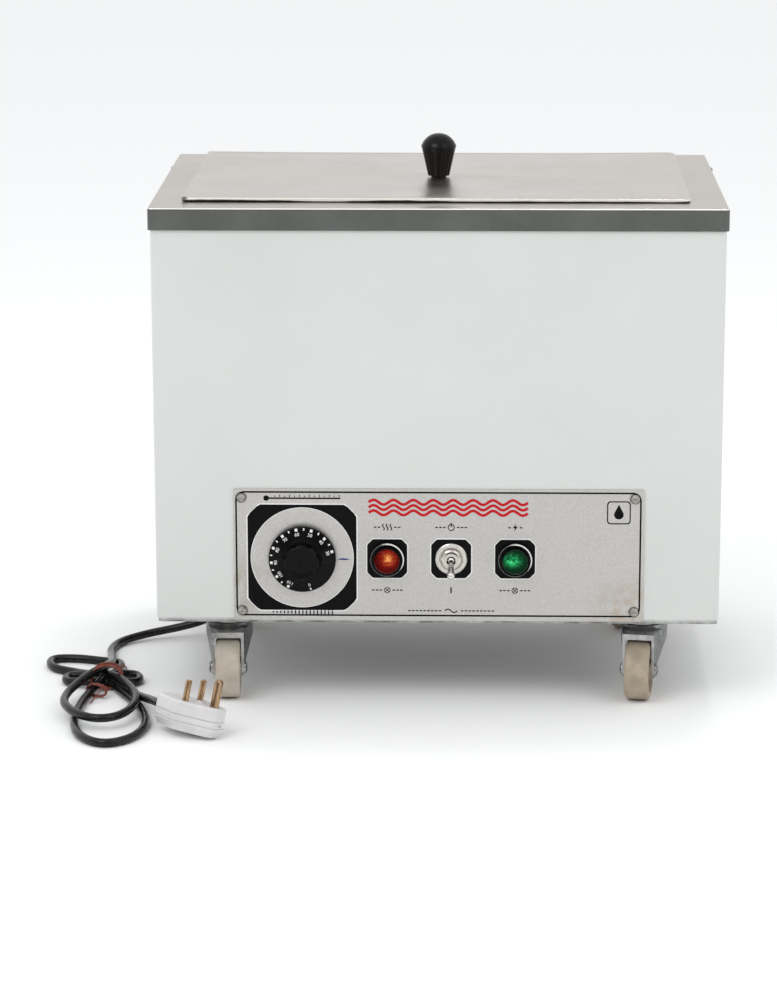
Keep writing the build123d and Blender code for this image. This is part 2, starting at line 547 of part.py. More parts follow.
def gland():
    """Elbow cord grip under the base, with a tapered boot that points along the floor."""
    up, back_x = (0, 0, 1), (-1, 0, 0)
    floor = FLOOR_GAP + SHEET
    foot = GLAND_Z - 9.0
    elbow = rod((GLAND_X, GLAND_Y, foot), up, 9.0, FLOOR_GAP - foot)
    elbow += rod((GLAND_X, GLAND_Y, FLOOR_GAP), up, 8.0, 9)
    elbow += rod((GLAND_X, GLAND_Y, GLAND_Z), back_x, 7.5, 12)
    boot_x = GLAND_X - 12
    elbow += cone((boot_x, GLAND_Y, GLAND_Z), back_x, 7.0, 4.9, boot_x - BOOT_TIP_X)
    nut = hexagon((GLAND_X, GLAND_Y, floor), up, 22, 5)
    nut -= rod((GLAND_X, GLAND_Y, floor), up, 8.0 + FIT, 5)
    parts["cord_gland"] = Compound([elbow, nut])


# The lead's own points are in the object's frame, so they already include CAB_Y.
LEAD_RUN = [(-92, 39, 60), (-118, 39, 60), (-146, 42, 51), (-175, 48, 34), (-205, 53, 16.5),
            (-232, 53, 9.5), (-256, 48, 6), (-277, 32, 3.6), (-283, 8, 3.6), (-279, -17, 5),
            (-276, -42, 8.5)]
LEAD_TAIL = [(-247, -131, 3.6), (-239, -158, 6), (-232, -183, 14), (-221, -198, 18)]
PLUG_AT = (-193.6, -217.5, 27.0)     # middle of the line and neutral pins, on the plug's face
PLUG_TURN = (-35.0, 4.0, -14.0)      # yaw, pitch and roll as it lies on its rounded back


def hank():
    """Outer shape of the tied hank: two floor loops, three folded ends and the tied bundle."""
    def pad(x, y, rx, ry, turn, top):
        return extrude(Pos(x, y, 0) * Rot(0, 0, turn) * Ellipse(rx, ry), top)

    shape = pad(-273, -157, 36, 64, 6, 14) + pad(-261, -183, 33, 82, 5, 7.2)
    shape += pad(-301, -40, 39, 24, 12, 7.2) + pad(-280, -83, 36, 21, 0, 9)
    return shape + pad(-281, -87, 17, 30, 0, 21)


def plug_outline(inset):
    """Pear-shaped plan of the plug: wide at the line and neutral pins, narrow at the earth pin."""
    circles = [(-23, 6, 6), (-2, 10.5, 8.5), (24.5, 4, 6)]
    edges = []
    for cx, cy, radius in circles:
        for side in (-1, 1):
            edges += (Pos(cx, side * cy) * Circle(radius - inset)).edges()
    return make_hull(edges)


def plug():
    yaw, pitch, roll = PLUG_TURN
    place = Pos(*PLUG_AT) * Rot(0, 0, yaw) * Rot(0, pitch, 0) * Rot(roll, 0, 0)
    seam, back = -11.0, -24.0
    bevel, crown = 1.5, 6.0
    groove, depth = 0.6, 0.6         # joint line round the body, and a moulded line round the cover
    body = extrude(Pos(0, 0, seam + groove) * plug_outline(0), -seam - groove - bevel)
    body += extrude(Pos(0, 0, seam) * plug_outline(depth), groove)
    body += loft([Pos(0, 0, -bevel) * plug_outline(0), plug_outline(bevel)])
    cover = extrude(Pos(0, 0, back + crown) * plug_outline(0), seam - back - crown)
    cover += loft([Pos(0, 0, back) * plug_outline(crown * 0.6),
                   Pos(0, 0, back + crown) * plug_outline(0)])
    ring = Pos(0, 0, seam - 5.5) * (plug_outline(-1) - plug_outline(depth))
    cover -= extrude(ring, groove)
    cover -= Pos(31, 0, seam - 2.6) * Box(3, 5, 2.4)
    pins = []
    for x, y, radius, length in ((0, -9.525, 2.54, 17.0), (0, 9.525, 2.54, 17.0), (22.2, 0, 3.53, 22.0)):
        nose, collar = radius * 0.45, radius + 0.8
        body -= rod((x, y, -7), (0, 0, 1), collar, 10)
        pin = rod((x, y, -7), (0, 0, 1), collar, 7) + rod((x, y, 0), (0, 0, 1), radius, length - nose)
        pins.append(pin + cone((x, y, length - nose), (0, 0, 1), radius, radius * 0.55, nose))
    cover_screw = turned([(0, 0), (3.4, 0), (2.6, 1.6), (0, 1.6)], (8, 0, 0), (0, 0, 1))
    entry = rod((-30, 0, seam + 0.5), (1, 0, 0), LEAD_D / 2, 10)
    parts["plug_body"] = place * (body + cover_screw - entry)
    parts["plug_cover"] = place * (cover - entry)
    parts["plug_pins"] = Compound([place * pin for pin in pins])


def lead():
    radius = LEAD_D / 2
    plug()
    parts["cord_run"] = soft_tube("cord_run", LEAD_RUN, radius)
    parts["cord_tail"] = soft_tube("cord_tail", LEAD_TAIL, radius)
    parts["cord_hank"] = hank()
    parts["cord_tie"] = block(-298, -264, -99, -90, 0, 22)


# ---- assembly --------------------------------------------------------------------------
cabinet()
heater_nuts = tank_and_heater()
stat_screws = thermostat()
block_screws = terminals()
fascia()
lamps()
toggle_switch()
lid()
caster_nuts = casters()
gland()
wires()
parts["hex_nuts"] = Compound(heater_nuts + caster_nuts)
parts["small_screws"] = Compound(stat_screws + block_screws)
parts = {name: Pos(0, CAB_Y, 0) * solid for name, solid in parts.items()}
lead()

os.makedirs("parts", exist_ok=True)
for name, solid in parts.items():
    export_step(solid, f"parts/{name}.step")
print(f"{len(parts)} nodes, CAB_Y {CAB_Y:.3f}")
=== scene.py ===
"""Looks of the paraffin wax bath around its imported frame: materials, fascia print, lid, lead and studio."""
import math

import bmesh
import bpy
from mathutils import Matrix, Vector, noise


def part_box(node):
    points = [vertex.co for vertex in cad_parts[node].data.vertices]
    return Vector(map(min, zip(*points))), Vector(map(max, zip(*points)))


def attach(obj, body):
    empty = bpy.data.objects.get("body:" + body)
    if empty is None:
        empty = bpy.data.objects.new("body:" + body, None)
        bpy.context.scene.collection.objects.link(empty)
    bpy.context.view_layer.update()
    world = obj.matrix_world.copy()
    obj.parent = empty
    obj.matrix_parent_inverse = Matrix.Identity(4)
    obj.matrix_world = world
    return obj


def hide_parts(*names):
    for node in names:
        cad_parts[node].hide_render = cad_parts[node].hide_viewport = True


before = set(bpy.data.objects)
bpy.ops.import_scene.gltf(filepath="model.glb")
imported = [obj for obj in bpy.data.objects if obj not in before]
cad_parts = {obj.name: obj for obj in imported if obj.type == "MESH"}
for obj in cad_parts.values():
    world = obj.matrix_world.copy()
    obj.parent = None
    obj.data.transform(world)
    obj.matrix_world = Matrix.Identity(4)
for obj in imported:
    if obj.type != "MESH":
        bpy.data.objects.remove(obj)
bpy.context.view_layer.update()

MM = 0.001
CABINET = "cabinet"


# ---- places taken from the frame ---------------------------------------------------------
def middle(node):
    """Middle of a CAD node's box."""
    low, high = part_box(node)
    return (low + high) / 2


FASCIA_LOW, FASCIA_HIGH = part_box("control_panel")
FASCIA_MID = middle("control_panel")
FACE_Y = FASCIA_LOW.y                       # front face of the fascia
SCREWS_LOW, SCREWS_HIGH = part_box("panel_screws")
SCREW_R = 3.5 * MM                          # half the width of a fascia screw's head
DIAL = middle("thermostat_knob")
RED, GREEN = middle("red_lens"), middle("green_lens")
LENS_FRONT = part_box("red_lens")[0].y
BEZEL_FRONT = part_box("lamp_bezels")[0].y
SWITCH = middle("switch_ring")
KNOB = middle("lid_knob")
LID_LOW, LID_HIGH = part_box("lid_sheet")
LID_MID = middle("lid_sheet")
LID_HALF = (LID_HIGH - LID_LOW) / 2
SHELL_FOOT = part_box("cabinet_shell")[0].z   # lower edge of the cabinet


# ---- mesh helpers ------------------------------------------------------------------------
def new_object(name, bm, smooth=None):
    """Turns a bmesh into an object; faces flatter than the angle (degrees) are shaded smooth."""
    mesh = bpy.data.meshes.new(name)
    bmesh.ops.recalc_face_normals(bm, faces=bm.faces)
    bm.to_mesh(mesh)
    bm.free()
    piece = bpy.data.objects.new(name, mesh)
    bpy.context.scene.collection.objects.link(piece)
    if smooth is not None:
        mesh.shade_smooth()
        mesh.set_sharp_from_angle(angle=math.radians(smooth))
    return piece


def finish_piece(piece, material, body):
    piece.data.materials.append(material)
    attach(piece, body)
    return piece


def add_loop(bm, points):
    return [bm.verts.new(p) for p in points]


def bridge(bm, first, second):
    """Quads between two closed loops of the same length."""
    count = len(first)
    for i in range(count):
        j = (i + 1) % count
        bm.faces.new((first[i], first[j], second[j], second[i]))


INK_T = 0.06 * MM                           # how far printed ink stands out of the fascia
RING_POINTS = 96                            # points on each outline of a printed window
CORNER_STEPS = 10                           # steps round each corner of a rounded box


def ink_plate(bm, outline):
    """Raised flat shape on the fascia from (x, z) points in metres."""
    back = add_loop(bm, [(x, FACE_Y + INK_T, z) for x, z in outline])
    face = add_loop(bm, [(x, FACE_Y - INK_T, z) for x, z in outline])
    bridge(bm, back, face)
    bm.faces.new(face)
    bm.faces.new(back)


def ink_ring(bm, outer, inner, lift=1.0):
    """Raised flat ring between two outlines of the same number of points."""
    depth = INK_T * lift
    loops = [add_loop(bm, [(x, y, z) for x, z in outline])
             for outline, y in ((outer, FACE_Y + INK_T), (outer, FACE_Y - depth),
                                (inner, FACE_Y - depth), (inner, FACE_Y + INK_T))]
    for a, b in zip(loops, loops[1:] + loops[:1]):
        bridge(bm, a, b)


def circle(cx, cz, radius, count=RING_POINTS):
    return [(cx + radius * math.cos(2 * math.pi * i / count),
             cz + radius * math.sin(2 * math.pi * i / count)) for i in range(count)]


def cut_square(cx, cz, half, cut):
    """Square with its corners cut off, sampled at even angles."""
    points = []
    for i in range(RING_POINTS):
        angle = 2 * math.pi * i / RING_POINTS
        c, s = math.cos(angle), math.sin(angle)
        reach = min(half / max(abs(c), abs(s)), (2 * half - cut) / (abs(c) + abs(s)))
        points.append((cx + reach * c, cz + reach * s))
    return points


def rounded_box(cx, cz, half_x, half_z, radius):
    points = []
    for corner, (sx, sz) in enumerate(((1, 1), (-1, 1), (-1, -1), (1, -1))):
        for i in range(CORNER_STEPS + 1):
            angle = math.pi / 2 * (corner + i / CORNER_STEPS)
            points.append((cx + sx * (half_x - radius) + radius * math.cos(angle),
                           cz + sz * (half_z - radius) + radius * math.sin(angle)))
    return points


def stroke(points, width, taper=False):
    """Outline of a line of even width through (x, z) points, or of one that thins towards its ends."""
    left, right = [], []
    last = len(points) - 1
    for i, (x, z) in enumerate(points):
        ax, az = points[max(i - 1, 0)]
        bx, bz = points[min(i + 1, last)]
        length = math.hypot(bx - ax, bz - az)
        nx, nz = -(bz - az) / length, (bx - ax) / length
        half = width / 2 * (math.sin(math.pi * (i + 0.6) / (last + 1.2)) if taper else 1)
        left.append((x + nx * half, z + nz * half))
        right.append((x - nx * half, z - nz * half))
    return left + right[::-1]


# ---- materials ---------------------------------------------------------------------------
class Finish:
    """Principled material with the few node patterns used here. Patterns are in row-frame metres."""

    def __init__(self, name, color, roughness, metallic=0.0, **sockets):
        self.material = bpy.data.materials.new(name)
        self.material.use_nodes = True
        tree = self.material.node_tree
        self.nodes, self.links = tree.nodes, tree.links
        self.shader = self.nodes["Principled BSDF"]
        self.set("Base Color", (*color, 1))
        self.set("Roughness", roughness)
        self.set("Metallic", metallic)
        for socket, value in sockets.items():
            self.set(socket.replace("_", " "), value)
        self.place = self.nodes.new("ShaderNodeTexCoord").outputs["Object"]

    def set(self, socket, value):
        """Gives a socket of the shader a value, or links it."""
        if isinstance(value, bpy.types.NodeSocket):
            self.links.new(value, self.shader.inputs[socket])
        else:
            self.shader.inputs[socket].default_value = value

    def stretched(self, scale):
        """Place on the piece, scaled along each axis. A small scale draws a pattern out along it."""
        mapping = self.nodes.new("ShaderNodeMapping")
        mapping.inputs["Scale"].default_value = scale
        self.links.new(self.place, mapping.inputs["Vector"])
        return mapping.outputs["Vector"]

    def noise(self, scale, detail=3.0, rough=0.5, stretch=(1, 1, 1)):
        texture = self.nodes.new("ShaderNodeTexNoise")
        texture.inputs["Scale"].default_value = scale
        texture.inputs["Detail"].default_value = detail
        texture.inputs["Roughness"].default_value = rough
        self.links.new(self.stretched(stretch), texture.inputs["Vector"])
        return texture.outputs["Fac"]

    def cells(self, scale, feature="F1"):
        texture = self.nodes.new("ShaderNodeTexVoronoi")
        texture.feature = feature
        texture.inputs["Scale"].default_value = scale
        self.links.new(self.place, texture.inputs["Vector"])
        return texture.outputs["Distance"]

    def axis(self, letter):
        split = self.nodes.new("ShaderNodeSeparateXYZ")
        self.links.new(self.place, split.inputs[0])
        return split.outputs[letter]

    def facing(self, letter, low, high):
        """0 to 1 as the size of the piece's own surface normal along an axis goes from low to high."""
        split = self.nodes.new("ShaderNodeSeparateXYZ")
        self.links.new(self.nodes.new("ShaderNodeTexCoord").outputs["Normal"], split.inputs[0])
        return self.span(self.math("ABSOLUTE", split.outputs[letter], 0), low, high)

    def distance(self, point, stretch=(1, 1, 1)):
        """Distance of the surface from a point of the row frame, both scaled along each axis."""
        length = self.nodes.new("ShaderNodeVectorMath")
        length.operation = "DISTANCE"
        self.links.new(self.stretched(stretch), length.inputs[0])
        length.inputs[1].default_value = [c * k for c, k in zip(point, stretch)]
        return length.outputs["Value"]

    def towards(self, point, direction):
        """How far the surface lies from a point, measured along a direction."""
        offset = self.nodes.new("ShaderNodeVectorMath")
        offset.operation = "SUBTRACT"
        self.links.new(self.place, offset.inputs[0])
        offset.inputs[1].default_value = point
        along = self.nodes.new("ShaderNodeVectorMath")
        along.operation = "DOT_PRODUCT"
        self.links.new(offset.outputs["Vector"], along.inputs[0])
        along.inputs[1].default_value = direction
        return along.outputs["Value"]

    def span(self, value, low, high, to_low=0.0, to_high=1.0):
        """Clamped linear change from one range to another."""
        node = self.nodes.new("ShaderNodeMapRange")
        for socket, number in zip(("From Min", "From Max", "To Min", "To Max"),
                                  (low, high, to_low, to_high)):
            node.inputs[socket].default_value = number
        self.links.new(value, node.inputs["Value"])
        return node.outputs["Result"]

    def math(self, operation, a, b):
        node = self.nodes.new("ShaderNodeMath")
        node.operation = operation
        for socket, value in zip(node.inputs, (a, b)):
            if isinstance(value, bpy.types.NodeSocket):
                self.links.new(value, socket)
            else:
                socket.default_value = value
        return node.outputs[0]

    def blend(self, factor, first, second):
        """Colour between two colours or colour sockets."""
        node = self.nodes.new("ShaderNodeMix")
        node.data_type = "RGBA"
        self.links.new(factor, node.inputs["Factor"])
        for socket, value in ((node.inputs[6], first), (node.inputs[7], second)):
            if isinstance(value, bpy.types.NodeSocket):
                self.links.new(value, socket)
            else:
                socket.default_value = (*value, 1)
        return node.outputs[2]

    def bump(self, height, strength, distance):
        """Adds relief to the surface, on top of any that it already has."""
        node = self.nodes.new("ShaderNodeBump")
        node.inputs["Strength"].default_value = strength
        node.inputs["Distance"].default_value = distance
        self.links.new(height, node.inputs["Height"])
        previous = self.shader.inputs["Normal"]
        if previous.is_linked:
            self.links.new(previous.links[0].from_socket, node.inputs["Normal"])
        self.links.new(node.outputs["Normal"], previous)


def white_enamel():
    f = Finish("white_enamel_paint", (0.68, 0.70, 0.68), 0.34, Coat_Weight=0.2, Coat_Roughness=0.2)
    clean, greyer = (0.690, 0.704, 0.684), (0.645, 0.660, 0.638)
    tone = f.blend(f.span(f.noise(5, 4), 0.35, 0.7), clean, greyer)
    scuffs = f.span(f.noise(60, 6, 0.65, (1, 1, 0.35)), 0.66, 0.74)
    low_down = f.span(f.axis("Z"), SHELL_FOOT + 65 * MM, SHELL_FOOT)
    scuffed = f.math("MULTIPLY", f.math("MULTIPLY", scuffs, low_down), 0.4)
    tone = f.blend(scuffed, tone, (0.42, 0.40, 0.36))
    # painted shade: a mottled dark line along the cabinet's lower edge
    foot = f.span(f.axis("Z"), SHELL_FOOT + 4.2 * MM, SHELL_FOOT + 0.6 * MM)
    grime_and_shade = f.math("MULTIPLY", foot, f.span(f.noise(70, 5), 0.3, 0.62, 0.25, 0.95))
    f.set("Base Color", f.blend(grime_and_shade, tone, (0.10, 0.10, 0.09)))
    f.set("Roughness", f.span(f.noise(40, 3), 0.3, 0.7, 0.28, 0.42))
    f.bump(f.noise(900, 2), 0.12, 0.0003)
    f.bump(f.noise(14, 2), 0.1, 0.002)
    return f.material


def stainless(name, tint, part):
    """Stainless sheet brushed along x, for the tank, cover or lid; the cover gets a painted dark reflection
    and highlight, the lid a painted highlight, painted shadow and a dark corner spot.
    """
    f = Finish(name, tint, 0.3, 1.0, Anisotropic=0.45)
    dark = tuple(c * 0.91 for c in tint)
    lines = f.noise(1500, 4, 0.6, (0.012, 1, 1))
    tone = f.blend(f.span(f.noise(13, 6, 0.65), 0.35, 0.72), tint, dark)
    if part == "cover":                     # painted dark reflection on the folded edge, painted highlight along its bend
        upright = f.facing("Z", 0.75, 0.25)
        painted_dark_band = f.blend(f.span(f.noise(30, 5), 0.3, 0.7), (0.150, 0.156, 0.148), (0.120, 0.125, 0.118))
        tone = f.blend(upright, tone, painted_dark_band)
        painted_bend_highlight = f.math("MULTIPLY", f.facing("Z", 0.12, 0.35), f.facing("Z", 0.97, 0.85))
        tone = f.blend(painted_bend_highlight, tone, (0.86, 0.84, 0.81))
    if part == "lid":                       # painted highlight on the hem, painted shadow along its foot and a dark spot at the front left corner
        hem = f.facing("Z", 0.8, 0.35)
        tone = f.blend(hem, tone, (0.96, 0.93, 0.88))
        uneven = f.span(f.noise(16, 3, 0.6, (1, 1, 0.1)), 0.3, 0.7, -0.9 * MM, 0.6 * MM)
        height = f.math("ADD", f.axis("Z"), uneven)
        foot = f.span(height, LID_LOW.z + 1.3 * MM, LID_LOW.z + 0.9 * MM)
        painted_foot_shadow = f.math("MULTIPLY", foot, f.facing("Z", 0.9, 0.6))
        corner = (LID_LOW.x + 1 * MM, LID_LOW.y + 2 * MM, LID_HIGH.z)
        dark_corner_spot = f.span(f.distance(corner), 4 * MM, 2 * MM)
        tone = f.blend(f.math("MAXIMUM", painted_foot_shadow, f.math("MULTIPLY", dark_corner_spot, 0.8)), tone, (0.02, 0.018, 0.016))
        f.set("Metallic", f.span(hem, 0.0, 1.0, 1.0, 0.2))
    f.set("Base Color", tone)
    smudge = f.span(f.noise(24, 5, 0.62), 0.42, 0.75, 0.0, 0.07)
    f.set("Roughness", f.math("ADD", f.span(lines, 0.3, 0.7, 0.24, 0.36), smudge))
    f.bump(lines, 0.08, 0.0002)
    return f.material


def fascia_metal():
    f = Finish("fascia_aluminium", (0.62, 0.605, 0.60), 0.42, 0.72)
    grain = f.math("MULTIPLY", f.math("ADD", f.noise(1100, 3, 0.7), f.noise(2600, 3, 0.7)), 0.5)
    base = f.blend(f.span(grain, 0.36, 0.64), (0.46, 0.447, 0.43), (0.67, 0.652, 0.63))
    right_foot = (FASCIA_HIGH.x - 14 * MM, FACE_Y, FASCIA_LOW.z + 8 * MM)
    near = f.span(f.distance(right_foot), 36 * MM, 4 * MM)
    stain = f.math("MULTIPLY", near, f.span(f.noise(110, 4), 0.38, 0.6))
    base = f.blend(f.math("MULTIPLY", stain, 0.6), base, (0.42, 0.33, 0.22))
    left_foot = (FASCIA_LOW.x + 3 * MM, FACE_Y, FASCIA_LOW.z + 26 * MM)
    near = f.span(f.distance(left_foot), 34 * MM, 4 * MM)
    smear = f.math("MULTIPLY", near, f.span(f.noise(140, 4), 0.4, 0.6))
    base = f.blend(f.math("MULTIPLY", smear, 0.65), base, (0.36, 0.33, 0.24))
    for x in (SCREWS_LOW.x + SCREW_R, SCREWS_HIGH.x - SCREW_R):      # dark ring just outside each screw head
        for z in (SCREWS_LOW.z + SCREW_R, SCREWS_HIGH.z - SCREW_R):
            halo = f.span(f.distance((x, FACE_Y, z)), 5 * MM, 4 * MM)
            halo = f.math("MULTIPLY", halo, f.span(f.noise(500, 3), 0.3, 0.6, 0.55, 0.95))
            base = f.blend(halo, base, (0.06, 0.055, 0.05))
    f.set("Base Color", base)
    f.set("Roughness", f.span(f.noise(300, 3), 0.3, 0.7, 0.36, 0.5))
    f.bump(grain, 0.15, 0.0001)
    return f.material


def ink(name, color, roughness=0.45):
    f = Finish(name, color, roughness, Specular_IOR_Level=0.08)
    wear_and_dark_reflection = tuple(min(1, c * 1.2 + 0.003) for c in color)
    f.set("Base Color", f.blend(f.span(f.noise(700, 4, 0.7), 0.45, 0.75), color, wear_and_dark_reflection))
    f.bump(f.noise(2400, 2), 0.1, 0.00005)
    return f.material


def phenolic(name="black_phenolic", color=(0.0025, 0.0026, 0.0028), roughness=0.24, specular=0.11):
    f = Finish(name, color, roughness, Specular_IOR_Level=specular)
    dusty = tuple(c + 0.006 for c in color)
    f.set("Base Color", f.blend(f.span(f.noise(420, 5, 0.7), 0.55, 0.78), color, dusty))
    f.set("Roughness", f.span(f.noise(90, 4), 0.3, 0.7, roughness - 0.05, roughness + 0.14))
    f.bump(f.noise(1300, 2), 0.08, 0.00012)
    return f.material


def polished(name, color, roughness=0.12):
    f = Finish(name, color, roughness, 1.0)
    dull = tuple(c * 0.7 for c in color)
    f.set("Base Color", f.blend(f.span(f.noise(260, 4), 0.5, 0.8), color, dull))
    f.set("Roughness", f.span(f.noise(500, 3), 0.35, 0.7, roughness, roughness + 0.16))
    f.bump(f.noise(1900, 2), 0.06, 0.00008)
    return f.material


def switch_case():
    """Black switch moulding, whose threaded bushing in front of the fascia is nickel plated."""
    black, nickel = (0.0025, 0.0026, 0.0028), (0.56, 0.53, 0.48)
    f = Finish("switch_case", black, 0.2)
    bushing = f.span(f.axis("Y"), FACE_Y + 3.0 * MM, FACE_Y + 2.6 * MM)
    f.set("Base Color", f.blend(bushing, black, nickel))
    f.set("Metallic", bushing)
    f.bump(f.noise(1900, 2), 0.06, 0.00008)
    return f.material


def zinc_plate():
    f = Finish("zinc_plated_steel", (0.40, 0.41, 0.41), 0.32, 1.0)
    tone = f.blend(f.span(f.noise(120, 4), 0.4, 0.7), (0.50, 0.50, 0.49), (0.30, 0.31, 0.31))
    # painted shade: faces turned along x get a darker, mottled tone
    painted_side_shade = f.blend(f.span(f.noise(70, 5, 0.6), 0.35, 0.65), (0.19, 0.195, 0.19), (0.085, 0.088, 0.088))
    tone = f.blend(f.facing("X", 0.55, 0.85), tone, painted_side_shade)
    grime_and_shade = f.span(f.noise(260, 5, 0.65), 0.6, 0.72)
    f.set("Base Color", f.blend(f.math("MULTIPLY", grime_and_shade, 0.7), tone, (0.13, 0.12, 0.11)))
    f.set("Roughness", f.span(f.noise(180, 4), 0.3, 0.7, 0.22, 0.45))
    f.bump(f.noise(800, 3), 0.1, 0.0002)
    return f.material


def wheel_nylon():
    f = Finish("wheel_nylon", (0.55, 0.49, 0.41), 0.55, Subsurface_Weight=0.04)
    fresh, aged = f.span(f.axis("X"), -0.1, 0.1), f.span(f.noise(90, 4), 0.35, 0.7)
    tone = f.blend(aged, (0.56, 0.50, 0.42), (0.43, 0.38, 0.31))
    tone = f.blend(fresh, tone, f.blend(aged, (0.44, 0.37, 0.28), (0.33, 0.275, 0.20)))
    specks = f.span(f.cells(420), 0.16, 0.08)
    tone = f.blend(f.math("MULTIPLY", specks, f.span(f.noise(130, 3), 0.5, 0.56)), tone, (0.16, 0.13, 0.10))
    f.set("Base Color", tone)
    f.set("Roughness", f.span(f.noise(160, 3), 0.3, 0.7, 0.48, 0.68))
    f.bump(f.noise(520, 5, 0.65), 0.25, 0.0005)
    return f.material


def lens_plastic(name, dark, middle_tone, core, centre, reach, falloff, stretch=(1, 1, 1)):
    """Moulded pilot-lamp lens with a prismatic inside, lit by a small lamp behind it."""
    f = Finish(name, dark, 0.16, Specular_IOR_Level=0.05, Emission_Strength=1.0)
    near = f.span(f.distance(centre, stretch), reach, 0.8 * MM)
    front = f.span(f.axis("Y"), LENS_FRONT + 6.5 * MM, LENS_FRONT + 3.5 * MM)     # the side wall stays unlit
    near = f.math("MULTIPLY", near, front)
    blotches = f.span(f.noise(420, 3), 0.3, 0.62, 0.35, 1.2)
    prisms = f.math("MULTIPLY", f.span(f.cells(620, "SMOOTH_F1"), 0.75, 0.15), blotches)
    wide = f.math("MULTIPLY", f.math("POWER", near, 1.3), f.span(prisms, 0.0, 1.0, 0.45, 1.1))
    tight = f.math("MULTIPLY", f.math("POWER", near, falloff), f.span(prisms, 0.1, 0.9, 0.1, 1.3))
    glow = f.blend(wide, tuple(c * 0.35 for c in dark), middle_tone)
    body = f.blend(f.span(prisms, 0, 1), tuple(c * 0.5 for c in dark), dark)
    f.set("Base Color", f.blend(front, (0.008, 0.007, 0.006), body))
    f.set("Emission Color", f.blend(tight, f.blend(front, (0, 0, 0), glow), core))
    f.bump(f.cells(620, "SMOOTH_F1"), 0.3, 0.0003)
    return f.material


def lamp_chrome():
    """Plating on the lamp rings: a mottled painted dark reflection, with a painted highlight along the upper
    right.
    """
    f = Finish("lamp_ring_chrome", (0.70, 0.70, 0.68), 0.2, 1.0)
    sides = [f.math("MULTIPLY", f.span(f.towards(at, (0.82, 0, 0.57)), 3 * MM, 8 * MM),
                    f.span(f.distance(at), 26 * MM, 24 * MM)) for at in (RED, GREEN)]
    lip = f.span(f.axis("Y"), BEZEL_FRONT + 1.9 * MM, BEZEL_FRONT + 1.1 * MM)
    # painted highlight on the upper right lip, over a mottled painted dark reflection
    painted_highlight = f.math("MULTIPLY", f.math("MAXIMUM", *sides), lip)
    wear_and_dark_reflection = f.blend(f.span(f.noise(420, 4), 0.45, 0.7), (0.10, 0.105, 0.105), (0.045, 0.045, 0.045))
    f.set("Base Color", f.blend(painted_highlight, wear_and_dark_reflection, (0.86, 0.86, 0.84)))
    f.set("Metallic", f.span(painted_highlight, 0.0, 1.0, 1.0, 0.5))
    f.set("Roughness", f.span(f.noise(500, 3), 0.35, 0.7, 0.16, 0.32))
    f.bump(f.noise(1900, 2), 0.06, 0.00008)
    return f.material


def lead_rubber():
    f = Finish("lead_rubber", (0.006, 0.0062, 0.0062), 0.3, Specular_IOR_Level=0.3)
    dust = f.span(f.noise(140, 5, 0.65), 0.5, 0.75)
    f.set("Base Color", f.blend(dust, (0.005, 0.0052, 0.0052), (0.018, 0.0185, 0.0175)))
    f.set("Roughness", f.span(f.noise(220, 4), 0.3, 0.7, 0.17, 0.33))
    f.bump(f.noise(700, 3), 0.15, 0.0003)
    return f.material


def twine_fibre():
    f = Finish("red_twine_fibre", (0.33, 0.075, 0.045), 0.85, Sheen_Weight=0.2)
    strands = f.span(f.noise(900, 4), 0.4, 0.6)
    f.set("Base Color", f.blend(strands, (0.33, 0.075, 0.045), (0.10, 0.018, 0.013)))
    f.bump(f.noise(2600, 3), 0.6, 0.0004)
    return f.material


def white_moulding():
    f = Finish("white_plug_moulding", (0.70, 0.68, 0.68), 0.32, Subsurface_Weight=0.06)
    f.set("Base Color", f.blend(f.span(f.noise(45, 4), 0.4, 0.75), (0.72, 0.70, 0.70), (0.58, 0.56, 0.565)))
    f.set("Roughness", f.span(f.noise(150, 4), 0.3, 0.7, 0.26, 0.44))
    f.bump(f.noise(420, 3), 0.12, 0.0003)
    return f.material


def pin_brass():
    f = Finish("pin_brass", (0.55, 0.38, 0.19), 0.24, 1.0)
    aged = f.span(f.noise(240, 5, 0.6, (1, 1, 0.3)), 0.4, 0.7)
    f.set("Base Color", f.blend(aged, (0.56, 0.38, 0.22), (0.15, 0.085, 0.05)))
    f.set("Roughness", f.span(f.noise(400, 3, 0.5, (1, 1, 0.1)), 0.3, 0.7, 0.10, 0.28))
    f.bump(f.noise(1500, 3), 0.1, 0.0001)
    return f.material


def glass_wool():
    f = Finish("glass_wool", (0.72, 0.60, 0.28), 0.95, Sheen_Weight=0.3)
    fluff = f.span(f.noise(160, 6, 0.7), 0.35, 0.7)
    f.set("Base Color", f.blend(fluff, (0.78, 0.66, 0.32), (0.50, 0.40, 0.17)))
    f.bump(f.noise(330, 6, 0.75, (1, 1, 0.4)), 0.9, 0.003)
    return f.material


def plain_metal(name, bright, dark, roughness):
    f = Finish(name, bright, roughness, 1.0)
    f.set("Base Color", f.blend(f.span(f.noise(190, 5, 0.6), 0.38, 0.7), bright, dark))
    f.set("Roughness", f.span(f.noise(320, 4), 0.3, 0.7, roughness - 0.08, roughness + 0.14))
    f.bump(f.noise(1100, 3), 0.12, 0.00015)
    return f.material


def matte(name, color, roughness):
    f = Finish(name, color, roughness)
    f.set("Base Color", f.blend(f.span(f.noise(200, 4), 0.4, 0.7), color, tuple(c * 0.72 for c in color)))
    f.bump(f.noise(900, 3), 0.15, 0.0002)
    return f.material


CASTERS = ("fl", "fr", "rl", "rr")


